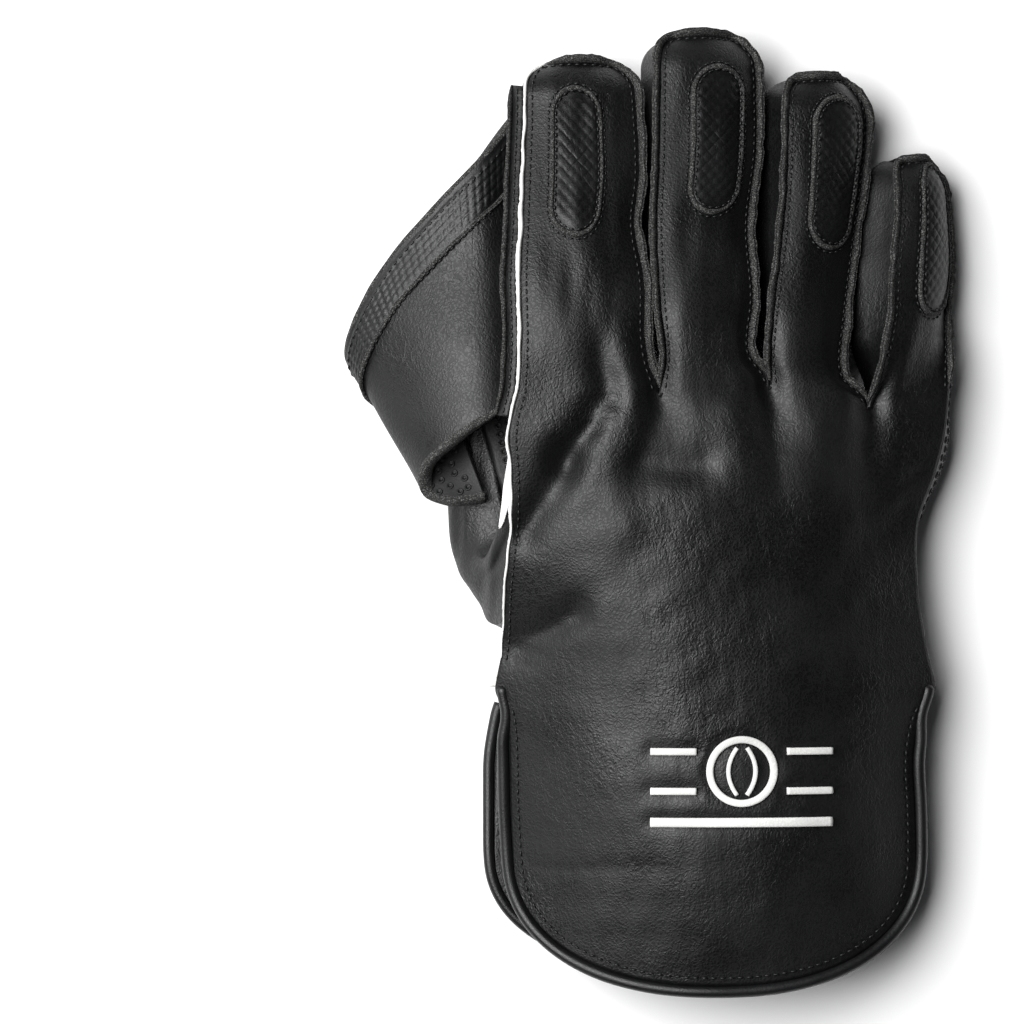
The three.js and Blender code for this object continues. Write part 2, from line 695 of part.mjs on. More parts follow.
const sheets = {
  back_leather: gridFaces(cuffGrid, false).concat(
    gridFaces(backBody, false),
    backFingers.flatMap((grid) => gridFaces(grid, false)),
  ),
  palm_rubber: gridFaces(palmBody, true).concat(
    palmFingers.flatMap((grid) => gridFaces(grid, true)),
  ),
  index_side_wall: gridFaces(indexSide, false),
  little_side_wall: gridFaces(littleSide, false),
  gusset_index_middle: gridFaces(gussets[0], false),
  gusset_middle_ring: gridFaces(gussets[1], false),
  gusset_ring_little: gridFaces(gussets[2], false),
  wrist_panel: gridFaces(wristGrid, true),
  thumb_leather: thumbFaces(seamLow, seamHigh),
  thumb_rubber: thumbFaces(seamHigh, seamLow),
};
const shellNormals = cornerNormals(Object.values(sheets));
const walls = {
  back_leather: ["black_leather", leatherWall],
  palm_rubber: ["pimple_rubber", rubberWall],
  index_side_wall: ["black_leather", leatherWall],
  little_side_wall: ["black_leather", leatherWall],
  gusset_index_middle: ["black_leather", leatherWall],
  gusset_middle_ring: ["black_leather", leatherWall],
  gusset_ring_little: ["black_leather", leatherWall],
  wrist_panel: ["white_leather", leatherWall],
  thumb_leather: ["black_leather", leatherWall],
  thumb_rubber: ["pimple_rubber", leatherWall],
};
Object.entries(walls).forEach(([name, [finish, wall]]) =>
  addPiece(name, finish, wallBody(sheets[name], shellNormals, wall)),
);

// The line of a seam with the direction in which it stands off the sheets
const seamUpright = 0.7;
const seamPoint = (point) => ({
  point,
  out: unit(add(shellNormals.get(keyOf(point)), [0, 0, seamUpright])),
});

// A flat bar standing on a seam: bottom and top along the outward direction, width across it
function standingBar(line, width, height) {
  const seam = line.map(seamPoint);
  return barBody(
    seam.map(({ point, out }, i) => {
      const before = seam[Math.max(0, i - 1)].point;
      const next = seam[Math.min(seam.length - 1, i + 1)].point;
      const across = unit(cross(unit(add(next, before, -1)), out));
      const low = add(point, out, seatGap);
      const high = add(point, out, seatGap + height);
      return [
        add(low, across, -width / 2),
        add(high, across, -width / 2),
        add(high, across, width / 2),
        add(low, across, width / 2),
      ];
    }),
  );
}
// Rows of a finger at which its seams part from those of its neighbour
const seamStart = 2;
fingerNames.forEach((name, finger) => {
  const grid = backFingers[finger];
  const right = rightEdge(grid).slice(seamStart);
  const left = leftEdge(grid).slice(seamStart, -1).reverse();
  const tip = tipHalf(grid, stepsAcrossFinger, 1).slice(1);
  const line = finger === 0 ? [...right, ...tip] : [...right, ...tip, grid[fingerRows][0], ...left];
  addPiece("outseam_" + name, "raw_edge", standingBar(line, outseamWidth, outseamHeight));
});

// White strip in the seam along the thumb side, from the index fingertip to the wrist panel
const weltLine = [
  ...leftEdge(backFingers[0]).reverse(),
  ...leftOf(backBody, thumbRowLow - 1, bodyRows - 1).reverse(),
];
addPiece("white_welt", "white_leather", standingBar(weltLine, weltWidth, outseamHeight));

// Oval pads on the backs of the fingers. Each is a disc of rings laid on the finger's back.
const padPlaces = {
  index: { across: 0.44, along: 0.69, lean: -0.05 },
  middle: { across: 0.55, along: 0.7, lean: 0 },
  ring: { across: 0.56, along: 0.7, lean: 0 },
  little: { across: 0.62, along: 0.66, lean: 0 },
};
function padPoint(finger, turn, share, lift) {
  const name = fingerNames[finger];
  const place = padPlaces[name];
  const size = fingerSizes[name];
  const trueWidth = size.width / Math.cos(size.roll * degrees);
  const oval = (value) => Math.sign(value) * Math.abs(value) ** 0.8;
  const sideways = (oval(Math.cos(turn)) * share * padWidth) / 2 / trueWidth;
  const lengthways = (oval(Math.sin(turn)) * share * padLength) / 2 / size.length;
  const across = place.across + sideways + lengthways * place.lean;
  const along = place.along + lengthways;
  const at = fingerPoint(finger, across, along, false);
  const right = fingerPoint(finger, across + 0.02, along, false);
  const up = fingerPoint(finger, across, along + 0.02, false);
  const out = unit(cross(add(right, at, -1), add(up, at, -1)));
  return add(at, out, lift);
}
const padTurns = 20;
function padRing(finger, from, to, low, high) {
  const turns = steps(padTurns).slice(0, padTurns);
  const sections = turns.map((turn) => {
    const angle = turn * 2 * Math.PI;
    return [
      padPoint(finger, angle, from, low),
      padPoint(finger, angle, to, low),
      padPoint(finger, angle, to, high),
      padPoint(finger, angle, from, high),
    ];
  });
  return ringBody(sections);
}
// A closed ring of sections
function ringBody(sections) {
  const sides = sections[0].length;
  const index = [];
  sections.forEach((_, row) => {
    const next = (row + 1) % sections.length;
    for (let i = 0; i < sides; i += 1) {
      const j = (i + 1) % sides;
      index.push(row * sides + i, next * sides + j, row * sides + j);
      index.push(row * sides + i, next * sides + i, next * sides + j);
    }
  });
  return solidGeometry(sections.flat(2), index);
}
// A closed disc: rings of points from the middle out, on two levels
function discBody(finger, reach, low, high) {
  const shares = [0.5, 1];
  const turns = steps(padTurns).slice(0, padTurns).map((turn) => turn * 2 * Math.PI);
  const position = [];
  [high, low].forEach((lift) => {
    position.push(...padPoint(finger, 0, 0, lift));
    shares.forEach((share) =>
      turns.forEach((turn) => position.push(...padPoint(finger, turn, share * reach, lift))),
    );
  });
  const half = 1 + shares.length * padTurns;
  const index = [];
  turns.forEach((_, i) => {
    const j = (i + 1) % padTurns;
    const inner = [1 + i, 1 + j];
    const outer = [1 + padTurns + i, 1 + padTurns + j];
    [0, half].forEach((base, level) => {
      const faces = [
        [0, inner[0], inner[1]],
        [inner[0], outer[0], outer[1]],
        [inner[0], outer[1], inner[1]],
      ];
      faces.forEach((face) => {
        const shifted = face.map((id) => id + base);
        index.push(...(level ? shifted.reverse() : shifted));
      });
    });
    index.push(outer[0], outer[0] + half, outer[1] + half, outer[0], outer[1] + half, outer[1]);
  });
  return solidGeometry(position, index);
}
const padSeat = 0.7;
fingerNames.forEach((name, finger) => {
  const inner = 1 - (2 * padRim) / padWidth;
  addPiece(name + "_pad_rim", "raw_edge", padRing(finger, inner, 1, padSeat, padSeat + padThickness));
  const insert = inner - (2 * seatGap) / padWidth;
  const insertTop = padSeat + padThickness * 0.6;
  addPiece(name + "_pad", "embossed_leather", discBody(finger, insert, padSeat, insertTop));
});

// Piping round the hem of the back and round the palm flap
const hemLine = [
  ...leftOf(cuffGrid, 1, cuffRows).reverse(),
  ...cuffGrid[0],
  ...cuffGrid.slice(1).map((row) => row[row.length - 1]),
];
const outwardOf = (line) =>
  line.map((point, i) => {
    const run = add(line[Math.min(line.length - 1, i + 1)], line[Math.max(0, i - 1)], -1);
    return unit([run[1], -run[0], 0]);
  });
function pipedLine(line, offset, drop) {
  const outs = outwardOf(line);
  return line.map((point, i) => add(add(point, outs[i], offset), [0, 0, 1], drop));
}
const pipingRadius = pipingDiameter / 2;
addPiece(
  "back_piping",
  "piping",
  barBody(cordSections(pipedLine(hemLine, pipingRadius + seatGap, -leatherWall / 2), pipingRadius, 8)),
);

// Palm half of the cuff: a flat flap with its band and channels on the side that lies down
const flapTop = -heelToWrist - seatGap;
const flapZ = padding + seatGap;
function flapPoint(across, share, z) {
  const round = (1 - Math.cos(Math.PI * across)) / 2;
  const at = mix(mix(across, round, 0.7), across, eased(0, 0.6, share));
  const side = Math.abs(2 * at - 1);
  const drop = (1 - side ** flapPower) ** (1 / flapPower);
  const hemY = flapTop - flapLength + flapCorner * (1 - drop);
  const waist = 1 - 0.05 * eased(0.5, 1, share) - 0.12 * eased(0.86, 1, share) * Number(at < 0.5);
  return [flapCentre + (at - 0.5) * flapWidth * waist, mix(hemY, flapTop, share), z];
}
const flapSteps = 16;
const flapRows = 6;
const flapGrid = steps(flapRows).map((share) =>
  steps(flapSteps).map((across) => flapPoint(across, share, flapZ + leatherWall)),
);
const flat = (faces) => faces.map(withoutRepeats).filter((face) => face.length > 2);
const flapFaces = flat(gridFaces(flapGrid, false));
addPiece("cuff_flap", "black_leather", wallBody(flapFaces, cornerNormals([flapFaces]), leatherWall));
const flapLine = [
  ...flapGrid.map((row) => row[0]).reverse().slice(1, -1),
  ...flapGrid[0],
  ...flapGrid.map((row) => row[flapSteps]).slice(1, -1),
];
addPiece(
  "flap_piping",
  "piping",
  barBody(cordSections(pipedLine(flapLine, pipingRadius + seatGap, -leatherWall / 2 - 1), pipingRadius, 8)),
);

// A padded bar lying under the flap: flat where it rests, rounded along its sides
function paddedBar(from, to, halfWidth, depth, rounding) {
  const along = unit(add(to, from, -1));
  const side = [along[1], -along[0], 0];
  const section = (point, half, thickness) => {
    const low = flapZ - seatGap - thickness;
    return [
      add([point[0], point[1], flapZ - seatGap], side, half),
      add([point[0], point[1], low + thickness * rounding], side, half),
      add([point[0], point[1], low], side, half * 0.7),
      add([point[0], point[1], low], side, -half * 0.7),
      add([point[0], point[1], low + thickness * rounding], side, -half),
      add([point[0], point[1], flapZ - seatGap], side, -half),
    ];
  };
  const length = Math.hypot(...add(to, from, -1));
  const stops = [0, barEnd, length - barEnd, length];
  return barBody(
    stops.map((stop, i) => {
      const end = i === 0 || i === stops.length - 1;
      return section(add(from, along, stop), halfWidth * (end ? 0.8 : 1), depth * (end ? 0.6 : 1));
    }),
  );
}
const bandY = flapTop - bandDrop;
const bandHalf = flapWidth * bandReach;
const bandEnd = (side) => [flapCentre + side * bandHalf, bandY, 0];
addPiece(
  "cuff_band",
  "black_leather",
  paddedBar(bandEnd(-1), bandEnd(1), bandWidth / 2, padding, 0.45),
);
const channelTop = bandY - bandWidth / 2 - bandGap;
steps(channelCount - 1).forEach((_, i) => {
  const x = flapCentre + (i - (channelCount - 1) / 2) * channelWidth;
  const outer = Math.abs(i - (channelCount - 1) / 2) > channelCount / 2 - 1;
  const reach = outer ? channelLength * 0.72 : channelLength;
  addPiece(
    "cuff_channel_" + (i + 1),
    "black_leather",
    paddedBar([x, channelTop, 0], [x, channelTop - reach, 0], (channelWidth - channelGap) / 2, padding, 0.5),
  );
});

// Catching web: one band from the index finger round to the thumb
const webPlaces = webRows.map((_, i) => i / (webRows.length - 1));
const webTurn = (column, place) => smoothAt(webPlaces, webRows.map((row) => row[column]), place);
function webPoint(place, share) {
  const read = (side) => [
    backLeft(heelToCrotch) - webStandOff + webTurn(side + "X", place) * webReach,
    heelToCrotch - webDrop + webTurn(side + "Y", place) * webLength,
    webTurn(side + "Z", place) * backHeight,
  ];
  return mixPoints(read("low"), read("high"), share);
}
const stripShare = 1 - webStripWidth / webLength;
const webGridOf = (from, to, count) =>
  steps(webStations).map((place) =>
    steps(count).map((share) => webPoint(place, mix(from, to, share))),
  );
const webFaces = gridFaces(webGridOf(0, stripShare, webStepsAcross), false);
const webStripFaces = gridFaces(webGridOf(stripShare, 1, 2), false);
const webNormals = cornerNormals([webFaces, webStripFaces]);
const webSkin = (faces) => wallBody(faces, webNormals, webWall, webWall + seatGap);
addPiece("web_leather", "black_leather", webSkin(webFaces));
addPiece("web_edge_strip", "embossed_leather", webSkin(webStripFaces));
const liningFaces = webFaces.concat(webStripFaces);
addPiece("web_rubber", "pimple_rubber", wallBody(liningFaces, webNormals, webWall));

// Raised motif on the cuff: a plain ball with its seam, between short bars and over a long one
const motifCentre = [0.045 * bodyWidth, -0.245 * bodyLength];
const onBack = (x, y, lift) => [x, y, backZ(x, y) + lift];
const ballTurns = 28;
const ballPoint = (angle, radius, lift) =>
  onBack(motifCentre[0] + Math.cos(angle) * radius, motifCentre[1] + Math.sin(angle) * radius, lift);
const ballRadius = emblemHeight / 2;
const emblemTop = emblemSeat + emblemRelief;
addPiece(
  "emblem_ring",
  "white_leather",
  ringBody(
    steps(ballTurns).slice(0, ballTurns).map((turn) => {
      const angle = turn * 2 * Math.PI;
      return [
        ballPoint(angle, ballRadius - emblemStroke, emblemSeat),
        ballPoint(angle, ballRadius, emblemSeat),
        ballPoint(angle, ballRadius, emblemTop),
        ballPoint(angle, ballRadius - emblemStroke, emblemTop),
      ];
    }),
  ),
);
// A raised strip on the back along a line of places, as wide as its stroke
function strokeBody(places, stroke) {
  return barBody(
    places.map((place, i) => {
      const before = places[Math.max(0, i - 1)];
      const next = places[Math.min(places.length - 1, i + 1)];
      const run = unit([next[0] - before[0], next[1] - before[1], 0]);
      const half = stroke / 2;
      const left = [place[0] - run[1] * half, place[1] + run[0] * half];
      const right = [place[0] + run[1] * half, place[1] - run[0] * half];
      return [
        onBack(...left, emblemSeat),
        onBack(...left, emblemTop),
        onBack(...right, emblemTop),
        onBack(...right, emblemSeat),
      ];
    }),
  );
}
[-1, 1].forEach((side, i) => {
  const reach = ballRadius - emblemStroke - 2 * seatGap;
  const arc = steps(8).map((share) => {
    const height = 2 * share - 1;
    const bow = emblemStroke * (0.7 + 1.2 * (1 - height ** 2));
    return [motifCentre[0] + side * bow, motifCentre[1] + height * reach * 0.94];
  });
  addPiece("emblem_seam_" + (i + 1), "white_leather", strokeBody(arc, emblemStroke * 0.6));
});
[-1, 1].forEach((side, i) =>
  [-0.28, 0.28].forEach((height, j) => {
    const from = motifCentre[0] + side * (ballRadius + emblemGap);
    const length = emblemWidth / 2 - ballRadius - emblemGap;
    const y = motifCentre[1] + height * emblemHeight;
    const bar = steps(4).map((share) => [from + side * share * length, y]);
    const run = side > 0 ? bar : bar.reverse();
    addPiece("emblem_bar_" + (2 * i + j + 1), "white_leather", strokeBody(run, emblemStroke));
  }),
);
const baseBar = steps(12).map((share) => [
  motifCentre[0] + (share - 0.5) * emblemWidth,
  motifCentre[1] - emblemHeight * 0.72,
]);
addPiece("emblem_base", "white_leather", strokeBody(baseBar, emblemStroke * 1.3));

export default glove;
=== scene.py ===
# %% [markdown]
# # A wicketkeeping glove
# A keeper's glove is sewn from flat leather: a back that runs from the hem of the cuff to the
# fingertips, a palm faced with ringed rubber, and narrow gussets between the fingers.
# It lies palm down. This script dresses the fixed frame of the part with fine surfaces.
# Each surface is a formula on a grid, worked out as whole arrays, so that its folds,
# seams and stitches can all be measured along the same sheet.

import bpy
import numpy as np
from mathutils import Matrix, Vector


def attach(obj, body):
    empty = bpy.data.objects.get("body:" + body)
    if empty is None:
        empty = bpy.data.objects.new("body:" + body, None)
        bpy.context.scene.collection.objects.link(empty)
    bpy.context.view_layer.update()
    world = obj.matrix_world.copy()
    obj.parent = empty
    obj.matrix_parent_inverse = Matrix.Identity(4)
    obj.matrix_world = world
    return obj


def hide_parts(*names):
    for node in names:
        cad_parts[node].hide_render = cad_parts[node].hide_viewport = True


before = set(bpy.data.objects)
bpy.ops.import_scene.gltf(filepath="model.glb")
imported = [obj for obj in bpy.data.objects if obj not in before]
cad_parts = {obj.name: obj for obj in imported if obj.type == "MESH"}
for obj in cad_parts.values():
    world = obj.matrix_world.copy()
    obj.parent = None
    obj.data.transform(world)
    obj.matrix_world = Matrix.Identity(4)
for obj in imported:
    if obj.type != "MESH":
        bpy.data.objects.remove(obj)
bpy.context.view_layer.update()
MM = 0.001
print("nodes in the frame:", len(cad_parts))

# %% [markdown]
# ## Camera, floor and light
# The photograph looks straight down on the glove, with soft light from the upper left.
# A long lens high above keeps the outline true. One large soft light from the left gives the
# broad, low sheen that black leather shows on a white table, and a weak one beside it picks out
# the rims. More lights would wash the folds out, so the room itself stays dim.

# %% Camera and stage
PIXELS = 1024
PIXELS_PER_MM = 3.2
VIEW_MM = PIXELS / PIXELS_PER_MM
CENTRE_MM = (-65.0, 33.75)
CAMERA_HEIGHT = 2.2
GLOVE_LEVEL = 0.03
SENSOR_MM = 36.0
LIGHT_TARGET = (0.0, 0.03, 0.02)
# each light: its name, its place and its size in metres, and its power in watts
LIGHTS = [
    ("key_light", (-0.85, 0.3, 1.45), 1.5, 63),
    ("rim_light", (-1.5, 0.6, 0.35), 0.6, 2),
]
ROOM_COLOUR = (0.95, 0.96, 1.0, 1)
ROOM_STRENGTH = 0.04


def add_camera():
    """A lens whose field is the photograph's width at the level of the glove's back."""
    data = bpy.data.cameras.new("camera")
    data.sensor_width = SENSOR_MM
    data.lens = SENSOR_MM * (CAMERA_HEIGHT - GLOVE_LEVEL) / (VIEW_MM * MM)
    data.dof.use_dof = False
    camera = bpy.data.objects.new("camera", data)
    bpy.context.collection.objects.link(camera)
    camera.location = (CENTRE_MM[0] * MM, CENTRE_MM[1] * MM, CAMERA_HEIGHT)
    bpy.context.scene.camera = camera
    return camera


def add_area(name, place, size, power):
    """A square soft light that faces the glove."""
    data = bpy.data.lights.new(name, "AREA")
    data.size = size
    data.energy = power
    light = bpy.data.objects.new(name, data)
    bpy.context.collection.objects.link(light)
    light.location = place
    light.rotation_euler = (Vector(LIGHT_TARGET) - Vector(place)).to_track_quat("-Z", "Y").to_euler()
    return light


camera = add_camera()
for light_values in LIGHTS:
    add_area(*light_values)
world = bpy.data.worlds.new("studio")
world.use_nodes = True
room = world.node_tree.nodes["Background"].inputs
room["Color"].default_value = ROOM_COLOUR
room["Strength"].default_value = ROOM_STRENGTH
bpy.context.scene.world = world
bpy.context.scene.view_settings.view_transform = "Standard"
print("camera lens", round(camera.data.lens, 1), "mm")

# %% [markdown]
# ## Sizes
# These repeat the part's own sizes and tables, so that every fine surface lies where the
# frame's solid lies. Lengths are millimetres until a mesh is made.

# %% Sizes of the glove
HEEL_TO_HEM = 118.0
HEEL_TO_WRIST = 21.0
HEEL_TO_CROTCH = 72.0
BODY_LENGTH = HEEL_TO_HEM + HEEL_TO_CROTCH
BODY_WIDTH = 136.0
BACK_HEIGHT = 52.0
PALM_RISE = 30.0
HEM_CORNER = 40.0
CROTCH_DIP = 5.0
PIPING = 4.0
FINGER_CROWN = 4.2
FINGER_BELLY = 3.0
TIP_ROUND = 11.0
LEATHER_WALL = 1.6
RING_ROOM = 0.45
RUBBER_WALL = 2.6

FINGERS = {
    "index": dict(length=103.0, width=41.0, root_depth=21.0, depth=20.0, roll=7.0, tuck=2.6),
    "middle": dict(length=111.4, width=32.0, root_depth=27.0, depth=17.0, roll=22.0, tuck=1.2),
    "ring": dict(length=98.0, width=26.0, root_depth=28.0, depth=15.0, roll=31.0, tuck=-0.6),
    "little": dict(length=72.4, width=19.0, root_depth=21.0, depth=13.0, roll=48.0, tuck=-1.5),
}
NAMES = list(FINGERS)
print("body", BODY_LENGTH, "mm long,", len(NAMES), "fingers")

# %% [markdown]
# ## Tables of the body
# Worn leather has no straight edge and no even height. Both could be sculpted, but a table of a
# few shares keeps them easy to change: each row is one place along the glove. Columns run from
# the thumb side, 0, to the little finger's side, 4, with one column at each finger's seam.

# %% Body tables
COLUMNS_AT_HEM = [0, 0.25, 0.5, 0.75, 1]
COLUMNS_AT_CROTCH = [0, 0.326, 0.58, 0.811, 1]
CROTCH_OFFSETS = [0, -0.28, 0.22, -1.08, 0.2]

# along the body from hem to crotch, left and right edge as shares of the body's width
EDGE_ROWS = np.array([
    (0.0, -0.497, 0.482), (0.21, -0.504, 0.484), (0.305, -0.511, 0.482), (0.4, -0.514, 0.477),
    (0.5, -0.518, 0.5), (0.575, -0.501, 0.479), (0.675, -0.494, 0.458), (0.78, -0.48, 0.459),
    (0.86, -0.48, 0.496), (0.93, -0.486, 0.52), (1.0, -0.464, 0.531),
])
# along the body, then the back's height at five stations across, as shares of its height
BACK_ROWS = np.array([
    (0.0, 0.3, 0.58, 0.68, 0.56, 0.27), (0.15, 0.32, 0.7, 0.84, 0.7, 0.3),
    (0.3, 0.37, 0.8, 0.94, 0.8, 0.34), (0.5, 0.52, 0.9, 1.0, 0.83, 0.41),
    (0.62, 0.68, 0.98, 1.02, 0.84, 0.42), (0.78, 0.92, 1.05, 1.02, 0.82, 0.42),
    (0.9, 1.02, 1.06, 0.98, 0.78, 0.42), (1.0, 1.04, 1.04, 0.9, 0.72, 0.4),
])
# along the body, left edge of the palm, then its height at five stations as shares of its rise
PALM_ROWS = np.array([
    (0.51, -0.15, -0.1, -0.2, -0.2, -0.2, 0.2), (0.56, -0.165, -0.1, -0.2, -0.2, -0.2, 0.2),
    (0.62, -0.115, -0.05, -0.2, -0.2, -0.2, 0.2), (0.68, -0.118, 0.12, -0.15, -0.2, -0.2, 0.2),
    (0.74, -0.155, 0.36, 0.02, -0.2, -0.2, 0.2), (0.8, -0.21, 0.62, 0.22, -0.08, -0.15, 0.2),
    (0.87, -0.31, 0.88, 0.46, 0.12, -0.05, 0.2), (0.94, -0.42, 1.06, 0.72, 0.32, 0.05, 0.2),
    (1.0, -0.462, 1.14, 0.92, 0.5, 0.16, 0.2),
])
print("rows of edge, back and palm:", len(EDGE_ROWS), len(BACK_ROWS), len(PALM_ROWS))

# %% [markdown]
# ## Tables of the fingers
# Every finger is wide at its root, narrower above it and round at its tip. A table of the same
# kind says so row by row, and it also says how high the finger lies.

# %% Finger tables
# along the finger, its centre as a share of the body's width, width as a share of the finger's
# width, height of the back as a share of the back's height
FINGER_ROWS = {
    "index": np.array([
        (0.0, -0.304, 1.06, 1.02), (0.15, -0.314, 0.96, 0.99), (0.33, -0.317, 0.965, 0.92),
        (0.5, -0.325, 0.87, 0.82), (0.65, -0.317, 0.9, 0.71), (0.85, -0.317, 0.86, 0.58),
        (1.0, -0.322, 0.84, 0.51),
    ]),
    "middle": np.array([
        (0.0, -0.014, 1.075, 0.93), (0.1, -0.032, 0.85, 0.9), (0.25, -0.034, 0.94, 0.84),
        (0.45, -0.043, 0.93, 0.74), (0.65, -0.03, 0.985, 0.63), (0.85, -0.027, 0.985, 0.54),
        (1.0, -0.03, 0.95, 0.49),
    ]),
    "ring": np.array([
        (0.0, 0.228, 1.2, 0.74), (0.1, 0.196, 0.9, 0.71), (0.25, 0.202, 0.89, 0.66),
        (0.45, 0.22, 0.9, 0.59), (0.65, 0.237, 0.94, 0.53), (0.85, 0.247, 1.0, 0.48),
        (1.0, 0.243, 0.92, 0.45),
    ]),
    "little": np.array([
        (0.0, 0.437, 1.35, 0.5), (0.15, 0.448, 1.17, 0.48), (0.35, 0.458, 0.96, 0.45),
        (0.55, 0.466, 0.97, 0.42), (0.75, 0.469, 0.84, 0.38), (1.0, 0.465, 0.72, 0.34),
    ]),
}
print("rows of the fingers:", [len(rows) for rows in FINGER_ROWS.values()])

# %% [markdown]
# ## Tables of folds, thumb and web
# The back has a few large folds, the thumb stall is a row of ovals, and the catching web hangs
# between two edge curves. Each is a list of places; formulas further down join them.

# %% Fold, thumb and web tables
# large folds in the back: from x, y to x, y as shares of body width and length, depth, spread
FOLDS = [
    (-0.27, 0.36, -0.36, 0.26, 0.07, 0.1), (-0.36, 0.26, -0.45, 0.15, 0.06, 0.1),
    (-0.18, 0.26, -0.05, 0.25, 0.035, 0.13), (-0.34, 0.01, -0.46, -0.04, 0.04, 0.12),
]
# valleys that run down from the crotches, the same way; they fade and widen as they go
CROTCH_FOLDS = [
    (-0.14, 0.37, -0.11, 0.26, 0.09, 0.09), (0.112, 0.38, 0.13, 0.27, 0.1, 0.09),
    (0.343, 0.35, 0.35, 0.23, 0.09, 0.09),
]
THUMB_LENGTH = 90.0
THUMB_WIDTH = 52.0
THUMB_HEIGHT = 27.0
# ovals of the thumb stall: x, y, z, reach, rise, and how far the oval replaces the base loop
THUMB_ROWS = np.array([
    (-0.42, 0.06, 0.62, 0.5, 0.6, 0.3), (-0.425, 0.19, 0.6, 0.5, 0.56, 0.72),
    (-0.44, 0.34, 0.54, 0.5, 0.5, 1), (-0.466, 0.49, 0.49, 0.46, 0.45, 1),
    (-0.5, 0.62, 0.45, 0.37, 0.41, 1), (-0.53, 0.74, 0.41, 0.28, 0.37, 1),
    (-0.548, 0.84, 0.38, 0.2, 0.31, 1), (-0.556, 0.89, 0.36, 0.1, 0.17, 1),
])
WEB_REACH = 50.0
WEB_LENGTH = 92.0
WEB_STAND_OFF = 0.8
WEB_STRIP = 20.0
# the web's lower edge x, y, z and upper rim x, y, z, from the index finger to the thumb
WEB_ROWS = np.array([
    (-0.012, 0.0, 0.72, -0.02, 0.957, 0.4), (-0.155, -0.055, 0.78, -0.225, 0.804, 0.55),
    (-0.28, -0.1, 0.78, -0.48, 0.65, 0.54), (-0.42, -0.158, 0.72, -0.77, 0.47, 0.44),
    (-0.525, -0.21, 0.63, -0.985, 0.267, 0.31), (-0.56, -0.265, 0.55, -1.02, 0.135, 0.2),
    (-0.53, -0.32, 0.51, -0.82, 0.05, 0.15), (-0.39, -0.345, 0.55, -0.575, 0.02, 0.215),
    (-0.19, -0.33, 0.56, -0.41, 0.01, 0.36),
])
print("thumb ovals:", len(THUMB_ROWS), "web rows:", len(WEB_ROWS))

# %% [markdown]
# ## Curves and heights
# A table gives a few values along the glove. A smooth curve runs through them, and the same
# helper reads single tables and whole rings of points.

# %% Reading the tables
def smooth_at(places, values, at):
    """Cubic pieces through the values; each knot's slope is the chord of its neighbours."""
    places = np.asarray(places, float)
    values = np.asarray(values, float)
    at = np.clip(np.asarray(at, float), places[0], places[-1])
    last = len(places) - 1
    low = np.maximum(np.arange(last + 1) - 1, 0)
    high = np.minimum(np.arange(last + 1) + 1, last)
    extra = (1,) * (values.ndim - 1)
    slopes = (values[high] - values[low]) / (places[high] - places[low]).reshape(-1, *extra)
    i = np.clip(np.searchsorted(places, at, side="right") - 1, 0, last - 1)
    span = (places[i + 1] - places[i]).reshape(at.shape + extra)
    t = ((at - places[i]).reshape(at.shape + extra)) / span
    a, b = values[i], values[i + 1]
    rise, fall = slopes[i] * span, slopes[i + 1] * span
    return a + t * (rise + t * (3 * (b - a) - 2 * rise - fall + t * (2 * (a - b) + rise + fall)))


def across_stations(rows, along, across):
    """Heights of a table at (along, across): smooth along each station, then across them."""
    values = np.stack([smooth_at(rows[:, 0], column, along) for column in rows.T[1:]])
    count = len(values)
    low = np.maximum(np.arange(count) - 1, 0)
    high = np.minimum(np.arange(count) + 1, count - 1)
    slopes = (values[high] - values[low]) / (high - low).reshape((-1,) + (1,) * (values.ndim - 1))
    place = np.clip(across, 0, 1) * (count - 1)
    i = np.clip(np.floor(place).astype(int), 0, count - 2)
    t = place - i
    both = np.stack([i, i + 1])
    a, b = np.take_along_axis(values, both, 0)
    rise, fall = np.take_along_axis(slopes, both, 0)
    return a + t * (rise + t * (3 * (b - a) - 2 * rise - fall + t * (2 * (a - b) + rise + fall)))


def mix(a, b, share):
    """The first value at share 0, the second at share 1, and the straight way between."""
    return a + (b - a) * share


def eased(start, end, value):
    """0 before start, 1 after end, and the smooth cubic step between."""
    share = np.clip((np.asarray(value, float) - start) / (end - start), 0, 1)
    return share * share * (3 - 2 * share)


print("halfway up a curve:", round(float(smooth_at([0, 1, 2], [0, 1, 0], 0.5)), 3))

# %% [markdown]
# ## Soft unevenness
# Nothing sewn by hand is even. A noise texture could move the points, but a sum of waves of
# unlike direction and length is a plain formula, gives the same result each time and can be read
# at any place, so that a seam and the sheet beside it waver together.

# %% Unevenness
WAVES = 5
BEND_SHARE = 0.35


def ripple(x, y, seed, size):
    """A soft, patternless unevenness from -1 to 1: five waves of unlike direction and length."""
    picker = np.random.default_rng(seed)
    total = np.zeros(np.broadcast(x, y).shape)
    for _ in range(WAVES):
        turn = picker.uniform(0, 2 * np.pi)
        length = size * picker.uniform(0.7, 1.6)
        phase = picker.uniform(0, 2 * np.pi)
        bend = BEND_SHARE * size * np.sin((x * np.sin(turn) - y * np.cos(turn)) / (1.7 * length) + phase)
        total += np.sin((x * np.cos(turn) + y * np.sin(turn) + bend) * 2 * np.pi / length + phase)
    return total / WAVES


def waver(length, seed, size):
    """The same unevenness along a line, by the length gone."""
    return ripple(length, 0 * length, seed, size)


print("unevenness at the middle:", round(float(ripple(0.0, 0.0, 1, 10)), 3))


# %% [markdown]
# ## Folds
# Worn leather keeps the creases of the hand that it was shaped on: deep valleys between the
# knuckles, one long fold towards the thumb, and fine wrinkles over the wrist. A modelled
# crease is a groove along a line; a slack area is a soft ripple. Both are depths on the same
# height formula, so no brush or image is needed.

